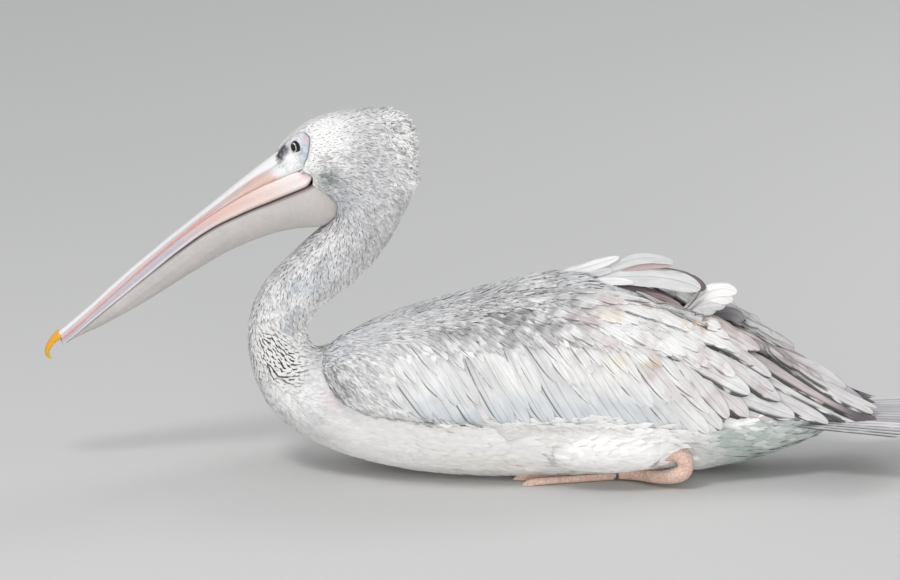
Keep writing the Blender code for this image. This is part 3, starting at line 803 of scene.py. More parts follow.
def dress(name, roots, normals, way, length, half, lift, thick, colours, material, seed, rings, jitter,
          base_shade=1.0, slot="plumage", profile=(0.5, 1.0, 0.85, 0.0), depth=None, tuck=None):
    """Grows one piece of coat from its roots: tufts of a length, half width and height of
    the tip, whose width along them is profile."""
    depth = coat_depth(roots) if depth is None else np.full(len(roots), depth)
    rng = default_rng(seed + 77)
    count = len(roots)
    turn = rng.normal(0, jitter, count)[:, None]
    way = level(way, normals)
    way = way * np.cos(turn) + np.cross(normals, way) * np.sin(turn)
    length = length * rng.uniform(0.8, 1.2, count)
    centre, across, normal = lay(roots, normals, way, length, depth, lift, rings)
    widths = half[:, None] * rng.uniform(0.85, 1.15, (count, 1))
    share = np.linspace(0, 1, rings)
    widths = widths * np.interp(share, np.linspace(0, 1, len(profile)), profile)[None]
    colours = colours * rng.uniform(0.96, 1.03, (count, 1))
    along_vane = ring_colours(colours * base_shade, colours, share**0.6)
    tuck = rng.uniform(-0.14, 0.14, count) * half if tuck is None else tuck
    cells = skin_cells(roots, normals, 0.003)
    item = vane_mesh(name, centre, across, normal, widths, thick, TUFT,
                     along_vane, tuck, cells, 0.003, seed)
    settle(item, material, slot)


def make_head_coat():
    """Velvety down of the head and neck, with the shaggy crest on the nape."""
    sizes = bpy.context.scene.pelican_sizes

    def wanted(points, owner):
        ragged = fade(midline_at(points)[0] + noise(points, 9, 34) * 30, 395, 450)
        on_head = np.where(np.isin(owner, (3, 4)), ragged, np.isin(owner, (0, 1, 2)))
        return on_head * (bareness(points) < 0.35)

    def spacing(points):
        return np.interp(midline_at(points)[0], (0, 30, 90, 200, 480, 560), (1.1, 1.5, 1.98, 2.3, 2.8, 3.2))

    roots, normals = scatter(wanted, spacing, 21)
    place, tail_way, back_way = midline_at(roots)
    upward = (normals * back_way).sum(axis=1)
    x, z = roots[:, 0], roots[:, 2]
    neck = band(place, 75, 120, 470, 560)
    way = tail_way + back_way * (neck * 0.8)[:, None]
    crown = fade(place, 60, 100) * smooth(upward, 0.2, 0.7)
    way = way * (1 - crown)[:, None] + np.array((1.0, 0, 0.25)) * crown[:, None]
    crest = smooth(x, -160, -144) * smooth(z, 290, 330) * smooth(upward, 0.1, 0.55)
    mane = band(place, 150, 190, 330, 380) * smooth(upward, 0.45, 0.9)
    near_face = 1 - smooth(place, 10, 45)
    length = np.interp(place, (0, 30, 90, 200, 400, 560), (2.9, 5.2, 7.6, 7.6, 9.0, 16.0))
    length = length * sizes.neck_down / 0.0085
    length = length + crest * sizes.crest / MM * 0.45 + mane * 2.5
    half = np.interp(place, (0, 60, 200, 480), (0.6, 0.85, 1.05, 1.8)) * (1 - 0.15 * near_face)
    rng = default_rng(5)
    # feathers of the crest and the mane draw together into locks
    cells = np.floor((roots + noise(roots, 9, 14)[:, None] * 3) / (5.8, 5.0, 5.4))
    _, lock, sizes_of = np.unique(cells, axis=0, return_inverse=True, return_counts=True)
    lock = lock.ravel()
    centres = np.column_stack([np.bincount(lock, roots[:, k]) for k in range(3)]) / sizes_of[:, None]
    raised = rng.random(len(sizes_of))[lock]
    shaggy = np.maximum(crest, mane * 0.6)
    way = unit(way) + (centres[lock] - roots) * (shaggy / 4.5)[:, None]
    lift = 0.1 + length * 0.006 + crest * (0.6 + 4.5 * raised**2) + mane * (0.3 + 2.4 * raised**2)
    calm = (1 - smooth(place, 120, 170) * 0.5) * (1 - shaggy)
    turn, thick = 0.17 - 0.12 * calm, 0.18 - 0.08 * calm
    tuck = half * rng.uniform(-0.14, 0.14, len(roots)) * (1 - 0.8 * calm)
    colours = markings(roots + (2.5, 0, 0), normals)
    # painted shade and light: the crest's low feathers are greyed as the shade between the locks, and the raised
    # locks are painted brighter than white
    wash(colours, paint("grey"), crest * (1 - raised) * 0.3)
    wash(colours, paint("white") * 1.04, np.maximum(crest, mane * 0.8) * raised)
    material = feather_material("velvety neck down", 0.55, 0.0, 0.92, 1.0, bump=0.2, streak=0.94)
    values = (roots, normals, way, length, half, lift, thick, colours)
    for number, part in enumerate(np.array_split(np.argsort(place, kind="stable"), 3)):
        dress(
            f"neck_down_{number + 1}", *(value[part] for value in values), material, number, 4, turn[part],
            0.98 - 0.02 * number, tuck=tuck[part],
        )
    some = (shaggy > 0.25) & (rng.random(len(roots)) < 0.3)
    picked, count = np.nonzero(some)[0], some.sum()
    dress(
        "crest_locks", roots[picked], normals[picked], way[picked], rng.uniform(3.5, 7, count),
        rng.uniform(1.1, 1.9, count), rng.uniform(1.5, 7, count) * shaggy[picked], 0.35, colours[picked],
        material, 28, 6, 0.25, 0.85, profile=(0.8, 1.0, 0.9, 0.6, 0.0), depth=1.0,
    )
    make_ruffled_neck(material)


def make_ruffled_neck(material):
    """Wavy ridges of raised down low on the neck, each over a dark gap."""
    white, dark = paint("white"), paint("dark")
    roots, normals = scatter(lambda p, owner: (ruffle(p) > 0.2) & np.isin(owner, (1, 2, 3, 4)),
                             lambda p: np.full(len(p), 3.4), 24)
    x, z = roots[:, 0], roots[:, 2]
    behind = smooth(x - (z - 133) * 0.4, -268, -238)
    slope = np.radians(np.interp(behind, (0, 1), (42, 8)) + noise(roots, 9, 25) * 28)
    way = np.column_stack([np.cos(slope), np.zeros_like(x), -np.sin(slope)])
    rng = default_rng(26)
    count = len(x)
    length = rng.uniform(6, 12, count)
    strong = np.clip(ruffle(roots) * 1.5, 0.1, 1)
    # painted shade: the strips under the ridges are darkened as the shadowed gaps between them
    gap_shade = wash(np.tile(white, (count, 1)), dark * 0.5, strong)
    raised = np.tile(white * 0.84, (count, 1))
    below = unit(np.cross(normals, way)) * -np.sign(roots[:, 1:2]) * 1.5
    for name, shift, colours, half, lift, thick in (
        ("neck_gaps", 0, gap_shade, 1.05, 0.8, 0.15), ("neck_ridges", 1, raised, 1.2, 1.35, 0.35),
    ):
        dress(
            name, roots + below * shift, normals, way, length, np.full(count, half), np.full(count, lift),
            thick, colours, material, 27, 7, 0.1, profile=(0.2, 0.8, 1.0, 0.9, 0.0), depth=0.2,
        )


def make_body_coat():
    """Soft feathers of the breast, belly, flanks, thighs and under the tail."""
    sizes = bpy.context.scene.pelican_sizes

    def wanted(points, owner):
        ragged = smooth(midline_at(points)[0] + noise(points, 9, 33) * 30, 370, 440)
        on_body = np.where(owner == 3, ragged, np.isin(owner, (4, 5, 6)))
        back = (points[:, 2] > 150) & (points[:, 0] > -140)
        under = (points[:, 2] < 4) & (points[:, 0] > -100)
        return on_body * (1 - back) * np.where(under, 0.25, 1.0)

    def spacing(points):
        return np.interp(points[:, 0], (-240, -160, 0, 300), (2.9, 3.6, 4.6, 4.6))

    roots, normals = scatter(wanted, spacing, 31)
    x, side, z = folded(roots)
    vent = smooth(x, 170, 240)
    way = midline_at(roots)[1] + (0.0, 0.0, 0.12)
    length = np.interp(x, (-240, -150, 0, 200, 320), (17, 23, 32, 36, 50)) * sizes.body_feather / 0.024
    half = np.interp(x, (-240, -150, 0, 320), (2.4, 3.3, 4.6, 4.4))
    lift = 0.2 + 0.015 * length * default_rng(8).random(len(roots))
    flank = band(z, 48, 66, 88, 110) * smooth(x, -40, 0) * fade(x, 150, 200) * smooth(side, 80, 95)
    lift = lift + flank * 5 + vent * 4 * default_rng(9).random(len(roots))
    way[:, 2] += flank * 0.25
    colours = markings(roots, normals)
    chance = default_rng(12).random(len(roots))
    wash(colours, paint("white"), smooth(ruffle(roots), 0.05, 0.5) * 0.6)
    # some feathers under the tail are whiter, and some carry more of the greenish painted shade
    wash(colours, paint("white"), vent * (chance < 0.25) * 0.4)
    wash(colours, paint("green") * 0.75, vent * (chance > 0.75) * 0.5)
    material = feather_material("soft body feather", 0.8, 0.0, 0.95, 1.0, bump=0.2, streak=0.95)
    values = (roots, normals, way, length, half, lift)
    for number, part in enumerate(np.array_split(np.argsort(x, kind="stable"), 2)):
        dress(
            f"body_feathers_{number + 1}", *(value[part] for value in values), 0.22, colours[part], material,
            10 + number, 5, 0.14,
            profile=(0.4, 0.9, 1.0, 0.8, 0.0),
        )


class Chart:
    """A folded wing's outside unrolled: x along the bird, and e down the wing, which is 0
    at the lower edge, less above it, and reaches over the back to the midline."""

    step = 3.0

    def __init__(self, side):
        self.side = side
        self.label = "left" if side < 0 else "right"
        name = f"wing_{self.label}"
        rear = (name + "_tertials", name + "_primaries")
        wing = triangles_of(name, *rear)[:2]
        more, more_faces, _ = triangles_of(*rear)
        guide = made["guide"]
        everything = tree_of(
            np.concatenate([guide["points"], more]),
            np.concatenate([guide["triangles"], more_faces + len(guide["points"])]),
        )
        wing = tree_of(*wing)
        self.x = np.arange(-213.0, 405.0, self.step)
        self.e = np.arange(-300.0, 48.0, self.step)
        self.grid = np.zeros((len(self.x), len(self.e), 3))
        self.depth = np.zeros(len(self.x))  # from the wing's upper edge to its lower one
        self.reach = np.zeros(len(self.x))  # from the midline to the wing's lower edge
        for i, x in enumerate(self.x):
            self.grid[i], self.depth[i], self.reach[i] = self.slice(x, everything, wing)
        for _ in range(5):
            for axis in (0, 1):
                padded = np.concatenate([self.grid.take([0], axis), self.grid, self.grid.take([-1], axis)], axis)
                near = [padded.take(range(k, k + self.grid.shape[axis]), axis) for k in (0, 1, 2)]
                self.grid = (near[0] + 2 * near[1] + near[2]) / 4

    def slice(self, x, everything, wing):
        """The outline at one x, as points at each e, and two lengths along it."""
        low = np.interp(x, (-214, 150, 300, 405), (100, 80, 56, 40))
        points, upper, lower = [], None, None
        for angle in np.radians(np.arange(0, 130, 1.5)):
            ray = np.array((0.0, self.side * math.sin(angle), math.cos(angle)))
            start = Vector(np.array((x, 0.0, low)) + ray * 400)
            hit = everything.ray_cast(start, Vector(-ray), 399)[0]
            on_wing = wing.ray_cast(start, Vector(-ray), 399)[0]
            if hit is None:
                continue
            if on_wing is not None:
                upper = len(points) if upper is None else upper
                lower = len(points)
            points.append(np.array(hit)[1:])
        points = np.array(points[: lower + 1])
        if abs(points[0][0]) > 1:
            points = np.concatenate([[(0.0, points[0][1] + 2)], points])
            upper += 1
        length = lengths_along(points)
        reach = length[-1]
        tail = points[length > reach - 16]
        onward = unit(points[-1] - tail[0])
        onward = unit(onward + (-self.side * 0.35, 0))
        line = np.zeros((len(self.e), 2))
        place = self.e + reach
        for c in (0, 1):
            line[:, c] = np.interp(np.abs(place), length, points[:, c])
        line[place < 0, 0] *= -1
        beyond = np.maximum(self.e, 0)
        line[self.e > 0] = points[-1] + onward * beyond[self.e > 0, None]
        return np.column_stack([np.full(len(self.e), x), line]), reach - length[upper], reach

    def at(self, x, e):
        """Surface points."""
        i = np.clip((x - self.x[0]) / self.step, 0, len(self.x) - 1.001)
        j = np.clip((e - self.e[0]) / self.step, 0, len(self.e) - 1.001)
        a, b = i.astype(int), j.astype(int)
        f, g = (i - a)[..., None], (j - b)[..., None]
        over_x = (x - self.x[0]) / self.step - i
        point = (
            self.grid[a, b] * (1 - f) * (1 - g) + self.grid[a + 1, b] * f * (1 - g)
            + self.grid[a, b + 1] * (1 - f) * g + self.grid[a + 1, b + 1] * f * g
        )
        slope = self.grid[a + 1, b] - self.grid[a, b]
        return point + slope * over_x[..., None]

    def frame(self, x, e):
        """Points, the surface's two slopes there, and its outward normal."""
        along = (self.at(x + 4, e) - self.at(x - 4, e)) / 8
        down = (self.at(x, e + 4) - self.at(x, e - 4)) / 8
        normal = unit(np.cross(along, down))
        outward = np.sign((normal * np.array((0, self.side, 0.4))).sum(axis=-1))
        return self.at(x, e), along, down, normal * outward[..., None]

    def lengths(self, x):
        """The wing's depth and its lower edge's distance from the midline at x."""
        return np.interp(x, self.x, self.depth), np.interp(x, self.x, self.reach)

    def e_of(self, x, f):
        """e where f is 0 at the wing's upper edge, 1 at its lower one, -1 at the midline."""
        depth, reach = self.lengths(x)
        return np.where(f >= 0, -(1 - f) * depth, -depth + f * (reach - depth))

    def below(self, x, f):
        """e at the share f, which may pass beyond the lower edge."""
        return self.e_of(x, np.minimum(f, 1)) + np.maximum(f - 1, 0) * WING_DEPTH

    def f_of(self, x, e):
        """The share down the wing at e."""
        depth, reach = self.lengths(x)
        return np.where(e >= -depth, 1 + e / depth, (e + depth) / np.maximum(reach - depth, 1))

    def run(self, x, e, angle, length, bend, rings):
        """Lines from root to tip at (x, e), bent from their angles at the tip."""
        gaps = -np.diff(ring_places(rings))[::-1]
        xs, es = [x], [e]
        for k, gap in enumerate(gaps):
            turned = np.radians(angle - bend * gaps[:k].sum())
            goal = np.stack([np.cos(turned), np.zeros_like(x), -np.sin(turned)], axis=-1)
            _, along, down, _ = self.frame(xs[-1], es[-1])
            aa, ab, bb = (along * along).sum(-1), (along * down).sum(-1), (down * down).sum(-1)
            ga, gb = (goal * along).sum(-1), (goal * down).sum(-1)
            det = aa * bb - ab * ab
            dx, de = (ga * bb - gb * ab) / det, (gb * aa - ga * ab) / det
            size = np.linalg.norm(along * dx[:, None] + down * de[:, None], axis=1)
            xs.append(xs[-1] + dx / size * length * gap)
            es.append(es[-1] + de / size * length * gap)
        xs, es = np.array(xs[::-1]).T, np.array(es[::-1]).T
        points, _, _, normals = self.frame(xs, es)
        return points, normals, xs, es


def wing_angle(x, f):
    """How steeply the wing's feathers slope down towards the tail, in degrees."""
    slope = np.interp(x, (-195, -150, -60, 60, 180, 260, 380), (36, 44, 55, 57, 47, 38, 31))
    return slope - 6 * smooth(x, 60, 160) * fade(f, 0.2, 0.6)


def ring_places(rings):
    """Where a feather's rings lie from root 0 to tip 1, closer together at the tip."""
    return 1 - (1 - np.linspace(0, 1, rings)) ** 1.5


def leaf(share, root, blunt, power=1.0):
    """A vane's width along it: narrow at the root, full, then rounded off after blunt."""
    end = np.sqrt(np.clip(1 - (np.maximum(share - blunt, 0) / (1 - blunt)) ** 2, 0, 1))
    return (root + (1 - root) * smooth(share, 0, 0.45)) * end**power


def notched(widths, rng, amount=0.1):
    """Widths with the small splits that part a feather's barbs."""
    split = rng.random(widths.shape) < 0.10
    return widths * (1 - amount * rng.random(widths.shape) * split)


def wing_piece(name, chart, feathers, rings, shape, material, slot, seed, outline=QUILLED, tuck=0.4,
               shade=0.4, under=0.0, plain=False, replaced=()):
    """A group of one wing's feathers. Each row of feathers is the tip's x and e on the wing's
    chart, its slope in degrees and the change of slope towards the root, the length, half
    the width, the heights of root and tip over the wing's surface, and the shares of mauve
    and of a dark end. shade greys the roots, under darkens whole feathers and plain
    leaves them white."""
    grey, mauve, dark = paint("grey mauve dark")
    rng = default_rng(seed)
    x, e, slope, bend, length, half, low, high, dusty, ending = np.array(feathers, float).T
    centre, normal, xs, es = chart.run(x, e, slope, length, bend, rings)
    share = ring_places(rings)[None, :]
    height = low[:, None] * (1 - share) + high[:, None] * share
    centre = centre + normal * height[..., None]
    ahead = unit(np.gradient(centre, axis=1))
    normal = level(normal, ahead)
    across = np.cross(normal, ahead) * -chart.side
    widths = notched(half[:, None] * leaf(share, *shape), rng)
    count = len(x)
    cells, wide = grid_cells(count)
    patch = 0.96 / wide if count < 900 else 0.003
    if count >= 900:
        cells = skin_cells(centre[:, 0], normal[:, 0], patch)
    chance = np.repeat(rng.random(count), rings)
    tint = wing_colours(xs.ravel(), chart.f_of(xs, es).ravel(), chance)
    if plain:
        tint = np.tile(paint("white"), (len(tint), 1))
    wash(tint, mauve, np.repeat(dusty, rings))
    wash(tint, dark, (ending[:, None] * smooth(share, 0.6, 0.9)).ravel())
    # painted shade: shade greys the roots under the next feathers, and under darkens whole feathers as the shade in
    # the gaps
    wash(tint, grey, np.tile(shade * (1 - share[0]) ** 1.5, count))
    tint = wash(tint, dark, np.full(len(tint), under)).reshape(count, rings, 3)
    item = vane_mesh(f"{name}_{chart.label}", centre, across, normal, widths, 0.4, outline, tint,
                     tuck, cells, patch, seed)
    settle(item, material, slot, *replaced)


def wing_colours(x, f, chance):
    """Colours over the folded wing at x and the share f down it; chance is a random share
    of each feather's own."""
    white, pale, grey, blue = paint("white pale grey blue")
    mauve, ochre = paint("mauve"), paint("ochre")
    spot = np.column_stack([x, f * WING_DEPTH, np.zeros_like(x)])
    broad, mid, fine = noise(spot, 38, 40), noise(spot, 13, 41), noise(spot, 5, 42)
    lone = chance - 0.5
    colour = np.tile(white, (len(x), 1))
    wash(colour, pale, (0.35 + 0.35 * mid + 0.6 * lone) * (1 - 0.7 * smooth(x, 40, 110)))
    upper = fade(f + 0.16 * broad, 0.3, 0.66) * (0.35 + 0.65 * smooth(x, -150, -50)) * fade(x, 40, 110)
    wash(colour, grey, upper * np.clip(0.55 + 0.5 * mid + 0.6 * fine + 0.5 * lone, 0, 1))
    # painted shade: dark patches that stand for the shadowed gaps between the feathers
    gap_shade = hump((x - 5) / 45, (f - 0.28) / 0.2)
    wash(colour, paint("dark"), gap_shade * np.clip(0.25 + 0.6 * fine + 0.4 * lone, 0, 0.6))
    low = smooth(f, 0.66, 0.95) * fade(x, 120, 200)
    wash(colour, blue, low * (0.55 + 0.3 * mid))
    dusty = band(x, 20, 80, 300, 380) * fade(f, 0.55, 0.9)
    wash(colour, mauve, dusty * np.clip(0.8 * noise(spot, 24, 43) + 0.6 * fine - 0.02, 0, 0.55))
    warm = band(x, 60, 110, 190, 230) * fade(f, 0.5, 0.75)
    wash(colour, ochre, warm * np.clip(noise(spot, 17, 44) * 1.2 + 0.3 * fine - 0.3, 0, 0.4))
    return wash(colour, pale, smooth(x, 200, 280) * (0.35 + 0.4 * chance))


def covert_row(chart, seed, f, x0, x1, spacing, length, half, low, high, uneven=0.04, slope=0.0, bend=10.0):
    """Feathers with their tips along the wing at the share f, as wing_piece takes them;
    they shrink towards the shoulder."""
    rng = default_rng(seed)
    x = np.arange(x0, x1, spacing)
    count = len(x)
    x = x + rng.normal(0, spacing * 0.14, count)
    share = f + rng.normal(0, uneven, count)
    front = smooth(x, -195, -90)
    return np.column_stack([
        x, chart.below(x, share), wing_angle(x, share) + slope + rng.normal(0, 1.8, count), np.full(count, bend),
        length * (0.5 + 0.5 * front) * rng.uniform(0.92, 1.08, count),
        half * (0.72 + 0.28 * front) * rng.uniform(0.93, 1.07, count),
        low + rng.normal(0, 0.1, count), high + rng.normal(0, 0.15, count), np.zeros(count), np.zeros(count),
    ])


def make_coverts():
    """The wing coverts: rows of long feathers along the wing, and streaky ones above."""
    # painted shadow: dark lines along the coverts' tucked edges, where the next feather lies
    crisp = feather_material("greater wing covert", 1.0, 0.03, 0.1, 1.02, lines=(60, 92), edge=(-0.54, -0.4),
                             band=0.1)
    soft = feather_material("soft wing covert", 1.0, 0.02, 0.2, 1.0, streak=0.84, lines=(36, 66),
                            edge=(-0.58, -0.42), band=0.12)
    scaly = feather_material("scaly shoulder covert", 0.55, 0.0, 0.85, 1.1, bump=0.25, streak=0.76)
    rows = (  # name, then f, x from, to, spacing, length, half width, root and tip height
        ("second_coverts", 0.80, -178, 208, 13.5, 90, 8.8, -3.2, -0.5, 0.05),
        ("third_coverts", 0.59, -186, 200, 10.5, 72, 6.6, -3.0, -0.7, 0.08),
    )
    for chart in made["charts"]:
        feathers = covert_row(chart, 100, 0.99, -172, 214, 15, 106, 9.8, -3.6, 0.8, uneven=0.02)
        wing_piece("greater_coverts", chart, feathers, 18, (0.4, 0.78), crisp, "coverts", 50)
        for number, (name, *row) in enumerate(rows):
            feathers = covert_row(chart, 101 + number, *row)
            wing_piece(name, chart, feathers, 14, (0.45, 0.6, 1.1), soft, "coverts",
                       51 + number, tuck=0.3, shade=0.22)
        make_streaks(chart, soft)
        make_shoulder(chart, scaly)
        rng = default_rng(134)
        x = rng.uniform(-58, 158, 1500)
        top = np.interp(x, (-58, -20, 50, 100, 158), (1.04, 0.97, 0.95, 0.9, 1.04))
        share = np.minimum(top + 0.16 * rng.random(1500), 1.08)
        plumes = covert_row(chart, 135, share, 0, 1500, 1, 30, 2.6, -2.5, 1.0, 0.0)
        plumes[:, 0], plumes[:, 1] = x, chart.below(x, share)
        plumes[:, 2] = rng.normal(-10, 9, 1500)
        wing_piece("flank_plumes", chart, plumes, 8, (0.4, 0.4, 1.4), scaly, "plumage", 135,
                   outline=VANE, tuck=0.15, shade=0.03, plain=True)


def make_streaks(chart, material):
    """The narrow feathers between the shoulder and the long coverts."""
    rng = default_rng(61)
    x, f = rng.uniform(-196, 200, 12000), rng.uniform(0.0, 0.5, 12000)
    depth = np.interp(x, chart.x, chart.depth)
    size = np.interp(f, (0.0, 0.5), (3.6, 6.6))
    key = np.column_stack([np.floor(x / size), np.floor(f * depth / (size * 1.7)), np.round(size)])
    _, first = np.unique(key, axis=0, return_index=True)
    x, f, size = x[first], f[first], size[first]
    count = len(x)
    length = np.interp(f, (0.0, 0.5), (14, 40)) * rng.uniform(0.8, 1.2, count)
    length = length * (0.6 + 0.4 * smooth(x, -190, -120))
    none = np.zeros(count)
    # painted shade: some feathers end in dark, as the shadowed gaps between the streaks
    dark = smooth(noise(np.column_stack([x, f * WING_DEPTH, none]), 11, 45) + rng.uniform(-0.5, 0.5, count), 0.1, 0.7)
    feathers = np.column_stack([
        x, chart.e_of(x, f), wing_angle(x, f) + rng.normal(0, 4.0, count), none + 8, length,
        size * 0.52 * rng.uniform(0.85, 1.15, count), none - 2.4, rng.normal(0.2, 0.2, count), none,
        dark * 0.5 * fade(x, 50, 110),
    ])
    wing_piece("streaked_coverts", chart, feathers, 9, (0.5, 0.5, 1.3), material, "coverts", 71,
               outline=VANE, tuck=0.25)


def make_shoulder(chart, material):
    """Small scaly feathers over the shoulder, the wing's edges and the back between."""
    owner_number = FLESH.index(f"wing_{chart.label}")

    def share(points):
        e = -np.interp(points[:, 0], chart.x, chart.depth)
        top = chart.at(points[:, 0], e)[:, 2]
        low = chart.at(points[:, 0], e * 0)[:, 2]
        return (top - points[:, 2]) / np.maximum(top - low, 8)

    def wanted(points, owner):
        on_wing = owner == owner_number
        x, across = points[:, 0], points[:, 1] * chart.side
        back = (owner == 4) & (points[:, 2] > 150) & (x > -140) & (across >= 0)
        inner = across < np.interp(x, (-200, -150, 0, 30, 60, 400), (70, 52, 47, 44, 34, 30))
        f = share(points)
        edges = (x < -146) | ((f < 0.04) & (x < 40)) | inner | ((f > 0.9) & (x < -80))
        return (on_wing & edges) | back

    def spacing(points):
        return np.interp(points[:, 0], (-210, -150, 60, 240), (2.5, 2.9, 3.8, 5.0))

    roots, normals = scatter(wanted, spacing, 81)
    x = roots[:, 0]
    f = share(roots)
    slope = np.radians(wing_angle(x, f) * smooth(f, -0.3, 0.25) * 0.9)
    way = np.column_stack([np.cos(slope), chart.side * 0.12 * np.ones_like(x), -np.sin(slope)])
    rng = default_rng(82)
    length = np.interp(x, (-212, -150, 0, 250), (8.5, 17, 18, 22)) * rng.uniform(0.8, 1.2, len(x))
    half = np.interp(x, (-212, -150, 0, 250), (1.2, 1.5, 2.2, 3.4))
    lift = 0.12 + 0.008 * length - 9 * hollow_back(roots) - 1.6 * smooth(x, -172, -152) * (f > 0) * (x < -100)
    white, grey, blue, pale = paint("white grey blue pale")
    colours = wash(np.tile(white, (len(x), 1)), pale, rng.random(len(x)) * 0.8)
    mantle = 1 - smooth(f, -0.25, 0.05)
    run = roots[:, :1] * np.cos(slope)[:, None] - roots[:, 2:] * np.sin(slope)[:, None]
    over = roots[:, :1] * np.sin(slope)[:, None] + roots[:, 2:] * np.cos(slope)[:, None]
    speck = noise(np.hstack([run * 0.4, over, run * 0]), 2.2, 84) * 0.45 + rng.random(len(x)) * 0.55 + 0.12
    front = fade(x, -205, -170) * 0.5 - 0.15
    wash(colours, grey, smooth(speck, 0.0, 0.9) * (0.85 + front - 0.25 * mantle))
    wash(colours, blue, mantle * 0.35)
    dress(
        f"shoulder_feathers_{chart.label}", roots, normals, way, length, half, lift, 0.12, colours, material,
        83, 5, 0.1, 0.97, "coverts", (0.4, 0.9, 1.0, 0.7, 0.0), tuck=half * 0.06,
    )


def make_scapulars():
    """The long soft feathers that hang from the back over the folded wings."""
    material = feather_material("scapular", 1.0, 0.02, 0.3, 1.03, streak=0.88, lines=(30, 60), edge=(-0.75, -0.5))
    for chart in made["charts"]:
        rows = []
        for number, f in enumerate((-0.8, -0.55, -0.3, -0.05, 0.12, 0.28, 0.44)):
            row = covert_row(chart, 90 + number, f, 16 + 60 * max(f, 0), 236, 13.5, 78, 8.6, -1.6, 0.9, 0.03, -9, 6)
            grown = np.interp(row[:, 0], (10, 120, 240), (0.5, 0.8, 1.05))
            row[:, 4] *= grown
            row[:, 5] *= grown
            if f < -0.1:
                row[:, 6:8] -= 9 * smooth(row[:, :1], 40, 75) * fade(row[:, :1], 190, 225)
            rows.append(row)
        wing_piece("scapulars", chart, np.concatenate(rows), 14, (0.45, 0.6, 1.15), material,
                   "coverts", 92, tuck=0.35, shade=0.15)


# The rear feathers of the folded wing, from the lowest layer up, as wing_piece takes them.
REAR_FEATHERS = (
    (279, 2, 22, -6, 150, 8, -5.0, -3.6, 0.3, 0.1), (333, 6, 27, -2, 150, 8.5, -4.8, -3.0, 0.1, 0),
    (391, 17, 24, -5, 200, 11, -5.2, -3.4, 0, 0), (386, 9, 27, -2, 190, 10.5, -4.2, -1.8, 0.65, 0.95),
    (381, -3, 34, 2, 200, 10.5, -3.4, -0.8, 0.2, 0.1), (342, -36, 35, 2, 120, 10, -3.6, -1.2, 0.3, 0.3),
    (296, -6, 22, -9, 170, 12.5, -4.4, -2.2, 0, 0.05), (212, 5, 42, -4, 160, 13, -4.2, -1.8, 0, 0),
    (217, -4, 47, 2, 150, 12.5, -3.8, -1.3, 0, 0), (224, -16, 48, 8, 130, 12, -3.2, -0.8, 0.15, 0),
    (246, -14, 40, 4, 130, 12, -3.6, -1.4, 0.35, 0), (301, -62, 35, 2, 100, 9, -2.0, 0.4, 0.25, 0.3),
    (285, -84, 31, 2, 100, 10, -0.8, 1.6, 0.25, 0), (258, -89, 24, 0, 90, 11, -1.8, 0.4, 0.5, 0),
    (247, -39, 27, -4, 130, 12, -2.4, -0.1, 0, 0), (245, -88, 30, 0, 95, 11, -2.4, -0.4, 0.2, 0),
    (280, -26, 32, -3, 115, 10.5, -2.4, -0.4, 0.2, 0.1),
    (273, -38, 40, 0, 70, 6, -1.6, 0.0, 0, 0), (270, -54, 33, -2, 110, 9.5, -1.4, 0.6, 0.15, 0),
    (252, -70, 32, -2, 90, 8.5, -1.0, 0.8, 0.25, 0), (216, -122, 12, 0, 60, 10, -0.2, 1.0, 0, 0),
    (385, -11, 31, 0, 190, 10, -3.2, -0.4, 0.15, 0.1),
)


def make_flight_feathers():
    """Secondaries, tertials and primaries of the folded wings over a dark inner layer."""
    # painted shade: the outer feathers' rims are darkened as shadow lines, and the inner layer as the shade in the
    # gaps
    outer = feather_material("flight feather", 1.2, 0.018, 0.12, 0.6, roughness=0.7, streak=0.85,
                             lines=(40, 150), edge=(-0.66, -0.42))
    inner = feather_material("inner flight feather", 1.2, 0.02, 0.5, 1.0, roughness=0.75)
    for chart in made["charts"]:
        rows = [
            covert_row(chart, 110 + k, f, 205, end, 17, 130, 12.5, low, low + 2, 0.03, -3, 7)
            for k, (f, end, low) in enumerate(((0.95, 350, -9), (0.55, 320, -8.6)))
        ]
        wing_piece("inner_flight_feathers", chart, np.concatenate(rows), 14, (0.4, 0.86), inner,
                   "flight_feathers", 111, under=0.7)
        inside = np.concatenate([
            covert_row(chart, 115 + k, f, 208, end, 15, 100, 8.5, -3.5, -1.2, 0.05, -4, 4)
            for k, (f, end) in enumerate(((-0.75, 300), (-0.4, 318), (-0.08, 330)))
        ])
        inside[:, 8] = default_rng(118).random(len(inside)) * 0.5
        wing_piece("inside_wing_feathers", chart, inside, 16, (0.4, 0.8, 0.9), outer,
                   "flight_feathers", 119, tuck=0.5)
        rear = np.array(REAR_FEATHERS)
        if chart.side > 0:
            rear[:, 8:] = 0
        wing_piece("flight_feathers", chart, rear, 26, (0.4, 0.76, 1.0), outer,
                   "flight_feathers", 112, tuck=0.5,
                   replaced=(f"wing_{chart.label}_tertials", f"wing_{chart.label}_primaries"))


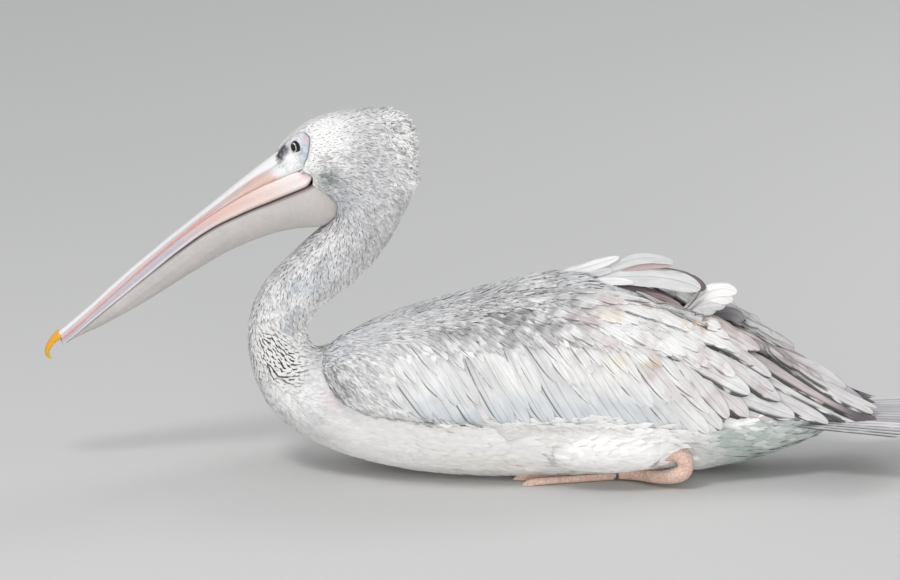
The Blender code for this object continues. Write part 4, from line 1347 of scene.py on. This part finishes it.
def free_feathers(name, rows, material, slot, replaced, seed):
    """Big feathers that stand free. Each row is the x, y and z of the root, of the top of
    the arch and of the tip, then half the width, the roll and the colours' names."""
    rings = 25
    s = ring_places(rings)[:, None]
    parts = []
    for *places, half, roll, first, last in rows:
        root, arch, tip = np.reshape(places, (3, 3)).astype(float)
        control = 2 * arch - (root + tip) / 2
        centre = bow(s, root, control, tip)
        ahead = unit(2 * (1 - s) * (control - root) + 2 * s * (tip - control))
        across = unit(np.cross(ahead, (0.0, 0.0, 1.0)))
        face = np.cross(across, ahead)
        c, d = math.cos(math.radians(roll)), math.sin(math.radians(roll))
        width = half * leaf(s[:, 0], 0.35, 0.7)
        parts.append((centre, across * c + face * d, face * c - across * d, width, paint(first), paint(last)))
    centres, wides, thicks, halves, first, last = (np.array(p) for p in zip(*parts))
    count = len(rows)
    cells, wide = grid_cells(count)
    item = vane_mesh(
        name, centres, wides, thicks, notched(halves, default_rng(seed), 0.08), 0.45,
        QUILLED, ring_colours(first, last, s[:, 0] ** 0.7), 0.0, cells, 0.96 / wide, seed,
    )
    settle(item, material, slot, *replaced)


def make_ruffled():
    """The right wing's inner feathers, blown up over the back."""
    fine = feather_material("ruffled inner feather", 1.0, 0.02, 0.6, 1.03, roughness=0.7)
    spikes = (
        (20, 12, 206, 62, 12, 216.6, 107, 12, 231, 5.5, -60, "pale", "white"),
        (30, 6, 204, 70, 8, 212, 100, 9, 218, 4.5, -55, "lilac", "pale"),
        (77, 12, 206, 125, 12, 228.5, 165, 12, 224.5, 6.2, -55, "pale", "pale"),
        (98, 10, 211, 132, 10, 220.5, 163, 10, 221, 3.0, -60, "mauve", "mauve"),
    )
    free_feathers("ruffled_spikes", spikes, fine, "coverts", ("ruffled_feather_1",), 121)
    # dark and umber paint the arch's brown edges and, as painted shade, its shaded undersides and the shade beneath
    # it
    arch = (
        (66, -1, 200, 125, -1, 197.5, 173, -1, 177.5, 6.5, -50, "dark", "umber"),
        (124, -3, 196, 155, -3, 189.5, 176, -3, 176, 3.2, -50, "umber", "mauve"),
        (95, 9, 206, 151, 9, 210, 200.5, 9, 196.5, 11.5, -52, "pale", "umber"),
        (77, 5, 206, 143, 5, 210.5, 195, 5, 197, 11.5, -52, "pale", "pale"),
        (198, 3, 203, 187, 2, 184, 173, 1, 172, 2.6, -20, "umber", "umber"),
        (52, 0, 202, 90, 0, 207, 123, 0, 205.5, 4.6, -50, "white", "white"),
    )
    free_feathers("ruffled_arch", arch, fine, "coverts", ("ruffled_feather_2",), 122)
    fan = (
        (175, 10, 170, 206, 10, 193.5, 234, 10, 191.5, 8, -58, "white", "white"),
        (177, 7, 169, 208, 7, 186.5, 229, 7, 182.5, 8, -56, "white", "white"),
        (178, 4, 168.5, 203, 4, 181, 221, 4, 177, 8, -54, "white", "pale"),
        (179, 1, 168, 198, 1, 176, 211, 1, 172.5, 7.5, -52, "pale", "white"),
        (180, -2, 168, 192, -2, 171.5, 201, -2, 168, 7, -50, "white", "white"),
    )
    free_feathers("ruffled_fan", fan, fine, "coverts", ("ruffled_feather_3",), 123)
    # a dark feather painted as the shade beneath the raised feathers
    shade = ((190, 17, 160, 222, 17, 167, 241, 17, 158, 7.5, -52, "dark", "grey"),)
    free_feathers("ruffled_shade", shade, fine, "coverts", (), 124)
    ridge = (
        (232, -7, 146, 300, -9, 119, 352, -8, 90, 8, -62, "mauve", "pale"),
        (262, -8, 132, 318, -10, 106, 377, -8, 67, 8.5, -60, "mauve", "lilac"),
    )
    free_feathers("ridge_feathers", ridge, fine, "flight_feathers", (), 125)


def make_tail():
    """The tail: twenty feathers in a low fan."""
    white, grey = paint("white grey")
    material = feather_material("tail feather", 1.2, 0.03, 0.12, 1.04, roughness=0.7, lines=(40, 180),
                                edge=(-0.85, -0.5))
    low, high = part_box("tail")
    reach, root_x, root_z = high.x / MM - 238, 238.0, (low.z + high.z) / 2 / MM + 1.5
    count, rings = 20, 15
    share = np.linspace(-1, 1, count)
    angle = np.radians(15.5) * share
    length = reach * (1 - 0.14 * share**2)
    s = ring_places(rings)[None, :]
    centre = np.zeros((count, rings, 3))
    run = 20 + (length[:, None] - 20) * s
    centre[..., 0] = root_x + run * np.cos(angle)[:, None]
    centre[..., 1] = 29 * share[:, None] + run * np.sin(angle)[:, None]
    layer = (1 - np.abs(share)) * 4.2 - 2.4
    centre[..., 2] = root_z + layer[:, None] - 5 * (centre[..., 1] / 90) ** 2 - 1.2 * s
    ahead = unit(np.gradient(centre, axis=1))
    normal = unit(np.array((0.0, 0.0, 1.0)) - ahead * ahead[..., 2:])
    across = np.cross(normal, ahead)
    half = 9.5 * leaf(s, 0.4, 0.9) * np.ones((count, 1))
    rng = default_rng(131)
    colours = wash(np.tile(white, (count, 1)), grey, rng.random(count) * 0.85)
    wash(colours, paint("lilac"), rng.random(count) * 0.5)
    cells, _ = grid_cells(count, 5)
    # painted shade: each feather's base is painted darker, as the shade under the coverts
    item = vane_mesh("tail_feathers", centre, across, normal, notched(half, rng, 0.06), 0.6,
                     QUILLED, ring_colours(colours * 0.8, colours, s[0]), np.sign(share) * 0.5, cells, 0.19, 132)
    settle(item, material, "tail_feathers", "tail")


def bill_points(distance, height, y):
    """Points by their distance from the bill's tip and their height over its axis."""
    c, s = math.cos(BILL_SLOPE), math.sin(BILL_SLOPE)
    return np.stack([BILL_TIP[0] + distance * c - height * s, y, BILL_TIP[2] + distance * s + height * c], -1)


def rounded(outline, count):
    """A smooth closed half outline with more points, mirrored to a whole one."""
    rows = np.array(outline, float)
    length = lengths_along(rows)
    table = np.column_stack([length, rows])
    across, height = table_at(table, np.linspace(0, length[-1], count))
    across[0] = across[-1] = 0
    return np.concatenate([across, -across[-2:0:-1]]), np.concatenate([height, height[-2:0:-1]])


def loft_piece(name, points, colours, material, slot, *replaced):
    """A closed piece through rings of points, in millimetres, with rounded ends."""
    rings, sides = points.shape[:2]
    vertices, colours = (
        np.concatenate([grid.reshape(-1, 3), grid[0].mean(0)[None], grid[-1].mean(0)[None]])
        for grid in (points, colours.reshape(points.shape))
    )
    quads = strip_quads(rings, sides)[..., [0, 3, 2, 1]].ravel()
    j = np.arange(sides)
    k = (j + 1) % sides
    first, last = rings * sides, rings * sides + 1
    caps = np.concatenate([
        np.stack([np.full(sides, first), k, j], -1).reshape(-1),
        np.stack([np.full(sides, last), (rings - 1) * sides + j, (rings - 1) * sides + k], -1).reshape(-1),
    ])
    sizes = np.concatenate([np.full((rings - 1) * sides, 4), np.full(2 * sides, 3)])
    item = mesh_object(name, vertices * MM, np.concatenate([quads, caps]), sizes, colours)
    bm = bmesh.new()
    bm.from_mesh(item.data)
    bmesh.ops.recalc_face_normals(bm, faces=bm.faces)
    bm.to_mesh(item.data)
    bm.free()
    return settle(item, material, slot, *replaced)


def tinted_material(name, grain, depth, shade=(0.9, 1.06), **surface):
    """A surface coloured by its painted tint, with a grain of a real size in mm."""
    material, tree, shader = new_material(name, **surface)
    place = add_node(tree, "TexCoord").outputs["Object"]
    fine = pattern(tree, "Noise", place, 1 / (grain * MM), detail=6.0)
    broad = pattern(tree, "Noise", place, 1 / (grain * 9 * MM), detail=3.0)
    surface_of(tree, shader, painted(tree), spread(tree, broad, 0.0, 1.0, *shade), fine, 0.5, depth)
    return material


UPPER_HALF = (
    (0, 1.0), (0.14, 0.985), (0.27, 0.9), (0.36, 0.78), (0.43, 0.66), (0.5, 0.6), (0.6, 0.6), (0.76, 0.55),
    (0.9, 0.43), (0.985, 0.27), (1.0, 0.14), (0.95, 0.03), (0.8, 0.0), (0.4, 0.03), (0, 0.04),
)
JAW_HALF = (
    (0, 0.96), (0.6, 0.97), (0.9, 1.0), (0.99, 0.85), (1.0, 0.6), (0.985, 0.42), (1.0, 0.25), (0.96, 0.04),
    (0.8, 0.0), (0.4, 0.03), (0, 0.03),
)


def bill_shell(distance, outline, count, low, high, width, end):
    """A horny piece round the bill: the shares across and up of its outline's points,
    grids of their distance, height and width, and a place for noise at each."""
    w, h = rounded(outline, count)
    height = ((low + high) / 2)[:, None] + ((high - low) / 2 * end)[:, None] * (2 * h - 1)
    across = width[:, None] * w
    d = np.repeat(distance[:, None], len(w), axis=1)
    return w, h, d, height, across, np.column_stack([d.ravel(), height.ravel() * 3, across.ravel() * 3])


def make_bill():
    """The upper bill, the hooked nail and the lower jaw."""
    horn, peach, salmon, lilac, orange, maroon = paint("horn peach salmon lilac bill_base gape_line")
    # keratin sheath over bone: smooth, half gloss, with scratches 0.4 mm apart
    sheath = tinted_material("bill keratin", 0.4, 0.05, Roughness=0.38, IOR=1.54, Coat_Weight=0.15,
                             Coat_Roughness=0.3, Subsurface_Weight=0.08, Subsurface_Scale=0.003)
    distance = np.r_[11.5:40:16j, 43:344:94j]
    ridge, edge, _, _, width, _ = table_at(BILL, distance)
    end = np.sqrt(np.clip((346 - distance) / 7, 0.08, 1))  # it sinks into the face
    w, h, d, height, across, flat = bill_shell(distance, UPPER_HALF, 29, edge - 0.3, ridge, width * end, end)
    wear = (noise(flat * (0.35, 1, 1), 7, 141) * 0.18 + noise(flat * (0.1, 1, 1), 3, 142) * 0.1).reshape(d.shape)
    seam = -0.35 * hump((np.abs(w) - 0.5) / 0.05)[None] * smooth(distance, 20, 60)[:, None]
    height = height + np.where(h > 0.2, wear + seam, 0)
    points = bill_points(d, height, across)
    colour = np.tile(horn, (d.size, 1))
    side, top, run = np.tile(np.abs(w), len(d)), np.tile(h, len(d)), d.ravel()
    wash(colour, lilac, smooth(side, 0.35, 0.6) * (0.45 + 0.3 * noise(flat, 30, 143)))
    line = hump((top - 0.22 - 0.12 * smooth(run, 120, 260)) / 0.2) * (side > 0.4)
    wash(colour, salmon, line * fade(run, 205, 275) * (0.85 + 0.2 * noise(flat * (0.3, 1, 1), 8, 144)))
    base = band(run, 232, 272, 300, 314) * fade(top, 0.5, 0.8) * (side > 0.3)
    wash(colour, orange, base * (0.8 + 0.4 * noise(flat, 12, 145)))
    wash(colour, paint("face"), smooth(run + 18 * smooth(top, 0.45, 0.75), 303, 322))
    upper = loft_piece("upper_bill_sheath", points, colour, sheath, "bill_horn", "upper_bill")
    make_bill_root(upper)
    distance = np.r_[9:40:16j, 43:338.5:92j]
    _, edge, underside, _, width, _ = table_at(BILL, distance)
    end = np.sqrt(np.clip((339.5 - distance) / 12, 0.05, 1))
    w, h, d, height, across, flat = bill_shell(
        distance, JAW_HALF, 23, underside + 0.2, edge + 0.3, width * (0.8 + 0.2 * end), end
    )
    height = height + (noise(flat * (0.3, 1, 1), 6, 146) * 0.14).reshape(d.shape)
    points = bill_points(d, height, across)
    side, top, run = np.tile(np.abs(w), len(d)), np.tile(h, len(d)), d.ravel()
    colour = wash(np.tile(lilac * 0.92, (d.size, 1)), peach, smooth(run, 165, 245))
    wash(colour, salmon, band(run, 175, 225, 240, 300) * smooth(top, 0.2, 0.7) * 0.35)
    wash(colour, horn, smooth(run, 285, 325) * 0.6)
    blush = hump((run - 331) / 4) * hump((top - 0.6) / 0.25)
    wash(colour, paint("blush"), blush * 0.7)
    rim = hump((top - 0.2) / 0.12) * fade(run, 190, 240)
    wash(colour, horn, rim * 0.8 * (side > 0.5))
    wash(colour, maroon, fade(top, 0.03, 0.14) * smooth(run, 60, 200) * 0.85)
    groove = hump((top - 0.42) / 0.05) * fade(run, 200, 250) * 0.3
    wash(colour, maroon, groove)
    loft_piece("lower_jaw_sheath", points, colour, sheath, "jaw_horn", "lower_bill")
    make_nail()


def make_bill_root(upper):
    """Skin that runs on from the face over the base of the bill, so that no step shows."""
    trees = []
    for item in (bpy.data.objects["skin"], upper):
        co, _, corners = read_mesh(item.data)
        first = co[corners[:, 0]]
        trees.append(tree_of(co, corners[((first > (-290, -40, 312)) & (first < (-215, 40, 378))).all(axis=1)]))
    distance, share = np.linspace(298, 350, 75), np.linspace(0, 1, 42)
    _, edge, *_ = table_at(BILL, distance)
    low = edge[:, None] + 0.8
    high = np.interp(distance, (298, 315, 340, 350), (7, 9, 15, 17))[:, None]
    height = low + (high - low) * share
    d = np.broadcast_to(distance[:, None], height.shape)
    flat = bill_points(d, height, np.zeros(height.shape))
    begin = 9 * fade(height, -3, 6)
    shown = smooth(d - begin, 300, 316) * fade(d, 342, 349) * smooth(height - low, 0.4, 3.5)
    shown = shown * fade(height - high, -6, -0.5)

    def blurred(field, times):
        for _ in range(times):
            wide = np.pad(field, 1, mode="edge")
            field = (wide[:-2, 1:-1] + wide[2:, 1:-1] + wide[1:-1, :-2] + wide[1:-1, 2:] + 2 * field) / 6
        return field

    for side, name in ((-1, "left"), (1, "right")):
        reach = np.zeros(height.shape)
        for spot in np.ndindex(height.shape):
            start = Vector((flat[spot][0], side * 45, flat[spot][2]))
            for tree in trees:
                hit = tree.ray_cast(start, Vector((0, -side, 0)))[0]
                if hit is not None:
                    reach[spot] = max(reach[spot], side * hit.y)
        for column in range(reach.shape[1] - 2, -1, -1):
            lost = reach[:, column] < 5
            reach[lost, column] = reach[lost, column + 1]
        full = reach
        for _ in range(4):
            full = np.maximum(blurred(full, 6), reach)
        full = blurred(full, 3) + 0.3
        outside = (reach - 0.7) * (1 - shown) + full * shown
        outer, inner = flat.copy(), flat.copy()
        outer[..., 1], inner[..., 1] = side * outside, side * (outside - 1.2)
        points = np.hstack([outer, inner[:, ::-1]])
        normals = np.tile((0.0, float(side), 0.0), (points[..., 0].size, 1))
        colours = markings(points.reshape(-1, 3), normals).reshape(points.shape)
        loft_piece(f"bill_root_skin_{name}", points, colours, bpy.data.materials["bare facial skin"], "plumage")


def make_nail():
    """The hooked nail at the bill's tip, bent down over the jaw."""
    yellow, hook = paint("nail"), paint("nail_tip")
    # thick keratin: glossy, deep coloured, with growth lines 0.5 mm apart
    horn = tinted_material("nail keratin", 0.5, 0.06, Roughness=0.3, IOR=1.54, Coat_Weight=0.3, Coat_Roughness=0.2,
                           Subsurface_Weight=0.1, Subsurface_Scale=0.003)
    start = table_at(np.column_stack([np.arange(len(BILL)), np.array(BILL)]), 0.9)[0] - 0.4
    share = np.linspace(0, 1, 34)[:, None]
    angle = np.arange(28)[None, :] * 2 * math.pi / 28
    bend = share * math.radians(112)
    distance = start - 25 * np.sin(bend)
    height = 1.2 - 11.5 * (1 - np.cos(bend))
    depth = 3.6 * (1 - share) ** 0.6 + 0.9
    width = 10.4 * (1 - share) ** 0.75 + 1.2
    crest = 1 + 0.12 * hump(np.minimum(angle, 2 * math.pi - angle) / 0.5) * (1 - share)
    off = depth * np.cos(angle) * crest * (1 + 0.02 * np.sin(share * 60))
    points = bill_points(distance - off * np.sin(bend), height + off * np.cos(bend), width * np.sin(angle))
    colour = wash(np.tile(yellow, (points.shape[0] * 28, 1)), hook, np.repeat(smooth(share[:, 0], 0.62, 0.95), 28))
    under = np.tile(smooth(-np.cos(angle[0]), 0.3, 0.9), 34)
    wash(colour, paint("horn"), under * 0.35)
    loft_piece("bill_tip_nail", points, colour, horn, "nail_horn", "bill_nail")


def make_pouch():
    """The slack skin pouch under the jaw, finely pleated towards the throat."""
    grey, maroon, peach = paint("pouch gape_line peach")
    distance = np.r_[12:60:26j, 62:344.5:190j]
    _, _, jaw, underside, _, width = table_at(BILL, distance)
    turn = np.linspace(0, math.pi / 2, 27)
    down = np.sin(turn) ** 0.85
    out = np.cos(turn)
    w = np.concatenate([[0.0, 0.5], out, -out[-2::-1], [-0.5]])
    h = np.concatenate([[0.0, 0.0], down, down[-2::-1], [0.0]])
    top = jaw - 0.2
    bulge = 1 + 0.05 * np.sin(np.pi * np.clip(h, 0, 1))
    across = width[:, None] * (w * bulge)[None]
    height = top[:, None] - (top - underside)[:, None] * h
    d = np.repeat(distance[:, None], len(w), axis=1)
    flat = np.column_stack([d.ravel(), height.ravel(), np.abs(across).ravel()])
    sway = noise(flat, 26, 151) * 3
    pleats = np.sin(flat[:, 0] * 2 * math.pi / 3.6 + sway + flat[:, 1] * 0.05)
    strength = smooth(flat[:, 0], 120, 300) * 0.22 + 0.07
    long_folds = np.sin(flat[:, 1] * 2 * math.pi / 9 + noise(flat * (0.2, 1, 1), 14, 152) * 2)
    depth = pleats * strength + long_folds * 0.16 * fade(flat[:, 0], 180, 280)
    depth = depth.reshape(d.shape) * np.clip(h * 6, 0, 1)
    across = across + depth * np.sign(w) * np.clip(np.abs(w) * 3, 0, 1)
    height = height - depth * (1 - np.abs(w)) * 0.8
    points = bill_points(d, height, across)
    # painted light and shade: the pleats' ridges lighter and their hollows darker
    pleat_shading = 0.035 * pleats * smooth(flat[:, 0], 150, 300)
    colour = np.tile(grey, (d.size, 1)) * (1 + 0.05 * noise(flat, 15, 153) + pleat_shading)[:, None]
    wash(colour, peach, 0.10 + 0.1 * noise(flat, 40, 154))
    share = np.tile(h, len(distance))
    line = fade(share, 0.0, 0.045) * smooth(flat[:, 0], 90, 200)
    wash(colour, maroon, line * 0.9)
    colour = colour * (1 - 0.12 * smooth(flat[:, 0], 325, 344))[:, None]
    # naked elastic skin: matt, thin enough to glow a little, with a fine leathery grain
    skin = tinted_material("pouch skin", 0.7, 0.12, Roughness=0.55, IOR=1.4, Subsurface_Weight=0.15,
                           Subsurface_Scale=0.005)
    loft_piece("pouch_skin", points, colour, skin, "pouch_skin", "pouch")


def make_eyes():
    """Two eyeballs: a dark pupil in a pale ringed iris under a clear, wet cornea."""
    # wet cornea over the iris: a hard, clear coat that gives a small sharp highlight
    material, tree, shader = new_material(
        "wet eye", Roughness=0.25, IOR=1.376, Coat_Weight=1.0, Coat_Roughness=0.02, Coat_IOR=1.376
    )
    place = painted(tree, "vane", "Vector")
    radius = add_node(tree, "SeparateXYZ", {0: place}).outputs[0]
    spokes = pattern(tree, "Noise", place, 2.2, detail=4.0)
    ramp = add_node(tree, "ValToRGB", {"Fac": calc(tree, "MULTIPLY_ADD", spokes, 0.05, radius)})
    stops = ((0.0, "pupil"), (0.5, "pupil"), (0.53, "iris"), (0.63, "iris"),
             (0.68, "iris_rim"), (0.74, "pupil"))
    while len(ramp.color_ramp.elements) < len(stops):
        ramp.color_ramp.elements.new(0.5)
    for element, (position, colour) in zip(ramp.color_ramp.elements, stops):
        element.position, element.color = position, (*paint(colour), 1)
    surface_of(tree, shader, ramp.outputs["Color"])
    for side, name in ((-1, "left"), (1, "right")):
        centre, outwards, down, ahead = eye_axes(side, 0.22)
        first = unit(np.cross(outwards, (0.0, 0.0, 1.0)))
        second = np.cross(outwards, first)
        turn = np.linspace(0, 2 * math.pi, 49)[:-1]
        polar = np.r_[0.03:0.9:34j, 0.98 : math.pi - 0.1 : 16j][:, None]
        swell = EYE_RADIUS * (1 - 0.015 + 0.03 * hump(polar / 0.5))
        ring = swell * np.sin(polar)
        points = (
            centre + (swell * np.cos(polar))[..., None] * outwards
            + (ring * np.cos(turn))[..., None] * first + (ring * np.sin(turn))[..., None] * second
        )
        shade = np.zeros(points.shape)
        item = loft_piece(f"eyeball_{name}", points, shade, material, "eye", f"eye_{name}")
        # the pupil is an upright oval that leans forwards and touches the front lid
        local = points - centre
        along, across = local @ down, local @ (ahead * side) - 1.1
        oval = np.hypot(across / np.where(across > 0, 3.3, 2.5), along / 4.1) / 2
        oval = np.where(local @ outwards > 0, oval, 3)
        spot = np.stack(np.broadcast_arrays(oval, np.cos(turn) * 3, np.sin(turn) * 3), -1).reshape(-1, 3)
        spot = np.concatenate([spot, [(0, 0, 0)], [(3, 0, 0)]])
        write_layer(item.data, "vane", "FLOAT_VECTOR", spot.astype(np.float32))


def make_legs():
    """Scaly skin for the shanks and webbed feet, over their own rounded solids."""
    # horny scutes about 5 mm across on the leg, with a dry satin surface
    material, tree, shader = new_material("leg skin", Roughness=0.5, IOR=1.45, Subsurface_Weight=0.1,
                                          Subsurface_Scale=0.003)
    place = add_node(tree, "NewGeometry").outputs["Position"]
    scutes = pattern(tree, "Voronoi", place, 1 / (5 * MM), "Distance", feature="DISTANCE_TO_EDGE")
    blotch = pattern(tree, "Noise", place, 1 / (9 * MM), detail=4.0)
    tints = {"A": (*paint("leg"), 1), "B": (*paint("leg_warm"), 1)}
    skin = add_node(tree, "Mix", {"Factor": blotch, **tints}, data_type="RGBA").outputs["Result"]
    gaps = spread(tree, scutes, 0.0, 0.14, 0.75)
    surface_of(tree, shader, skin, gaps, spread(tree, scutes, 0.0, 0.25), 0.6, 0.35)
    for name in ("shank_left", "shank_right", "foot_left", "foot_right"):
        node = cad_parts[name]
        weld = node.modifiers.new("one shell", "WELD")
        weld.merge_threshold = 0.02 * MM
        finer = node.modifiers.new("rounded", "SUBSURF")
        finer.levels = finer.render_levels = 2
        node.data.materials.clear()
        node.data.materials.append(material)


def make_stage():
    """A plain pale floor, soft studio light and the camera."""
    settings = bpy.context.scene.pelican_stage
    low, high = CAD_BOX
    half = settings.floor_size / 2
    floor = mesh_object(
        "floor", [(-half, -half, 0), (half, -half, 0), (half, half, 0), (-half, half, 0)], [0, 1, 2, 3], [4]
    )
    material, tree, shader = new_material("matt paper floor", Roughness=0.9, IOR=1.45)
    place = add_node(tree, "TexCoord").outputs["Object"]
    fibre = pattern(tree, "Noise", place, 900.0, detail=3.0)
    surface_of(tree, shader, tuple(settings.floor_colour), spread(tree, fibre, to_low=0.97, to_high=1.02))
    floor.data.materials.append(material)
    scene = bpy.context.scene
    world = scene.world or bpy.data.worlds.new("studio")
    scene.world = world
    world.use_nodes = True
    tree = world.node_tree
    tree.nodes.clear()
    inputs = {"Color": (*settings.sky_colour, 1), "Strength": settings.sky_strength}
    light = add_node(tree, "Background", inputs)
    add_node(tree, "OutputWorld", {"Surface": light.outputs[0]})
    middle = (low + high) / 2
    lamps = (  # name, place from the middle, size, share of the key's power
        ("key", (-1.1, -1.5, 2.4), 0.9, 1.0),
        ("fill", (0.2, -3.0, 0.1), 1.2, 1.1),
        ("back", (2.0, 1.4, 1.5), 1.4, 0.55),
    )
    for name, place, size, share in lamps:
        lamp = bpy.data.lights.new(name, "AREA")
        lamp.shape, lamp.size, lamp.energy = "DISK", size, settings.key_power * share
        item = add_item(name, lamp)
        item.location = middle + Vector(place)
        item.rotation_mode = "QUATERNION"
        item.rotation_quaternion = Vector(place).to_track_quat("Z", "Y")
    camera = bpy.data.cameras.new("camera")
    camera.lens, camera.clip_end = settings.lens, 60
    item = add_item("camera", camera)
    rise = settings.elevation
    up, back = Vector((0, math.sin(rise), math.cos(rise))), Vector((0, -math.cos(rise), math.sin(rise)))
    item.location = Vector((-0.0756, 0, 0)) + up * 0.1905 + back * settings.distance
    item.rotation_euler = (math.pi / 2 - rise, 0, 0)
    scene.camera = item
    scene.view_settings.view_transform = "Standard"


def swatch(name, description, value):
    """A colour that a user can change."""
    return bpy.props.FloatVectorProperty(
        name=name, description=description, subtype="COLOR", size=3, min=0, max=1, default=linear(value)[:3]
    )


def amount(name, description, value, low=0.0, **more):
    """A number that a user can change."""
    return bpy.props.FloatProperty(name=name, description=description, default=value, min=low, **more)


class PelicanColours(bpy.types.PropertyGroup):
    """Colours of the plumage and of the bare parts."""

    white: swatch("White", "Crown, breast and flanks", "#FBF9F7")
    pale: swatch("Pale grey", "Neck and most of the wings", "#DDDCDC")
    grey: swatch("Grey", "Flecks and feather bases", "#9C999B")
    # dark paints real dark marks and roots, and painted shade in the gaps between feathers
    dark: swatch("Dark", "Roots, gaps and dark marks", "#5A5357")
    blue: swatch("Blue grey", "Shaded side of the neck, covert ends", "#C2CCD4")
    cream: swatch("Cream", "Stains on the breast", "#F0E6DA")
    # green also paints the shade under the tail
    green: swatch("Green grey", "Patch behind the gape, under the tail", "#BCC9C3")
    mauve: swatch("Mauve brown", "Dusty tint of the rear wing", "#C7B0AE")
    # umber paints brown feather edges, and painted shade on the raised feathers' undersides
    umber: swatch("Umber", "Edges and undersides of the raised feathers", "#6E5A5C")
    ochre: swatch("Ochre", "Stains on the scapulars", "#E2CDA4")
    face: swatch("Face", "Bare skin of the face", "#ECEAEA")
    lores: swatch("Lores", "Slaty skin before the eye", "#3A3944")
    lid: swatch("Lids", "Rims of the eyelids", "#1E1B1D")
    blush: swatch("Blush", "Pink spots of the face and gape", "#E9BCC8")
    horn: swatch("Bill horn", "Ridge of the bill", "#EFECEC")
    lilac: swatch("Bill lilac", "Sides of the bill", "#C8BFC9")
    peach: swatch("Peach", "Jaw near the gape", "#E9D4CD")
    salmon: swatch("Salmon", "Cutting edge of the bill", "#D98E7B")
    bill_base: swatch("Bill base", "Orange flush before the face", "#D8AA96")
    gape_line: swatch("Gape line", "Line between jaw and pouch", "#4A2C31")
    pouch: swatch("Pouch", "Naked skin of the pouch", "#C0BDBB")
    nail: swatch("Nail", "Nail of the bill", "#F0AE08")
    nail_tip: swatch("Nail tip", "End of the nail", "#CFCB2E")
    pupil: swatch("Pupil", "Pupil and the eye's edge", "#060505")
    iris: swatch("Iris", "Pale ring of the iris", "#B6B4AC")
    iris_rim: swatch("Iris rim", "Outer edge of the iris", "#6E675C")
    leg: swatch("Leg", "Skin of the feet", "#E9DAD1")
    leg_warm: swatch("Leg flush", "Warm flush of the leg", "#E0AC8E")


class PelicanSizes(bpy.types.PropertyGroup):
    """Lengths of the plumage."""

    neck_down: amount("Neck down", "Length of the neck's short feathers", 0.0085, 0.004, max=0.02, unit="LENGTH")
    crest: amount("Crest", "Extra length of the nape's shaggy feathers", 0.014, max=0.03, unit="LENGTH")
    body_feather: amount("Body feather", "Length of a feather of the flank", 0.024, 0.01, max=0.05, unit="LENGTH")


class PelicanStage(bpy.types.PropertyGroup):
    """The floor, the lights and the camera."""

    floor_size: amount("Floor", "Side of the square floor", 24.0, 4.0, unit="LENGTH")
    floor_colour: swatch("Floor colour", "Colour of the floor", "#CECDCB")
    sky_colour: swatch("Room light", "Colour of the room's light", "#EEF1F4")
    sky_strength: amount("Room strength", "Strength of the room's light", 0.66)
    key_power: amount("Key light", "Power of the main lamp", 33.0, unit="POWER")
    lens: amount("Lens", "Focal length in mm", 666.0, 20.0, unit="CAMERA")
    distance: amount("Distance", "From the camera to the bird", 18.0, 1.0, unit="LENGTH")
    elevation: bpy.props.FloatProperty(
        name="Elevation", description="How far the camera looks down", default=math.radians(15), unit="ROTATION"
    )


def skin_step():
    """Builds the guide, the skin and the wings' charts."""
    build_guide()
    make_skin()
    made["charts"] = [Chart(-1), Chart(1)]


STEPS = (
    ("skin", "Make the skin, with the bare face, lids and folds", skin_step),
    ("neck_down", "Grow the down of the head and neck", make_head_coat),
    ("body_feathers", "Grow the feathers of the breast, flanks and belly", make_body_coat),
    ("coverts", "Lay the wing coverts", make_coverts),
    ("scapulars", "Lay the scapulars", make_scapulars),
    ("flight_feathers", "Lay the flight feathers", make_flight_feathers),
    ("ruffled", "Raise the ruffled inner feathers", make_ruffled),
    ("tail", "Lay the tail feathers", make_tail),
    ("bill", "Make the bill, its nail and the jaw", make_bill),
    ("pouch", "Make the pouch", make_pouch),
    ("eyes", "Make the eyes", make_eyes),
    ("legs", "Finish the legs and feet", make_legs),
    ("stage", "Set the floor, lights and camera", make_stage),
)


def operator_class(key, text, work):
    """An operator that runs one step; a step that fails raises its error."""

    def execute(self, context):
        work()
        return {"FINISHED"}

    label = key.replace("_", " ").capitalize()
    body = {"bl_idname": f"pelican.{key}", "bl_label": label, "__doc__": text, "execute": execute}
    return type(f"PELICAN_OT_{key}", (bpy.types.Operator,), body)


class PELICAN_PT_steps(bpy.types.Panel):
    """The pelican's steps and settings."""

    bl_label = "Resting pelican"
    bl_space_type = "VIEW_3D"
    bl_region_type = "UI"
    bl_category = "Pelican"

    def draw(self, context):
        for key, *_ in STEPS:
            self.layout.operator(f"pelican.{key}")
        for group in ("pelican_colours", "pelican_sizes", "pelican_stage"):
            settings = getattr(context.scene, group)
            box = self.layout.box()
            for name in settings.bl_rna.properties.keys():
                if name not in ("rna_type", "name"):
                    box.prop(settings, name)


CLASSES = (
    PelicanColours, PelicanSizes, PelicanStage, *(operator_class(*step) for step in STEPS), PELICAN_PT_steps
)


def register():
    """Registers the classes and the scene's settings."""
    for item in CLASSES:
        bpy.utils.register_class(item)
    bpy.types.Scene.pelican_colours = bpy.props.PointerProperty(type=PelicanColours)
    bpy.types.Scene.pelican_sizes = bpy.props.PointerProperty(type=PelicanSizes)
    bpy.types.Scene.pelican_stage = bpy.props.PointerProperty(type=PelicanStage)


def unregister():
    """Takes the classes and settings away again."""
    for name in ("pelican_colours", "pelican_sizes", "pelican_stage"):
        delattr(bpy.types.Scene, name)
    for item in reversed(CLASSES):
        bpy.utils.unregister_class(item)


def main():
    """Runs every step in order and writes both boxes' sizes."""
    register()
    for key, *_ in STEPS:
        getattr(bpy.ops.pelican, key)()


if __name__ == "__main__":
    main()
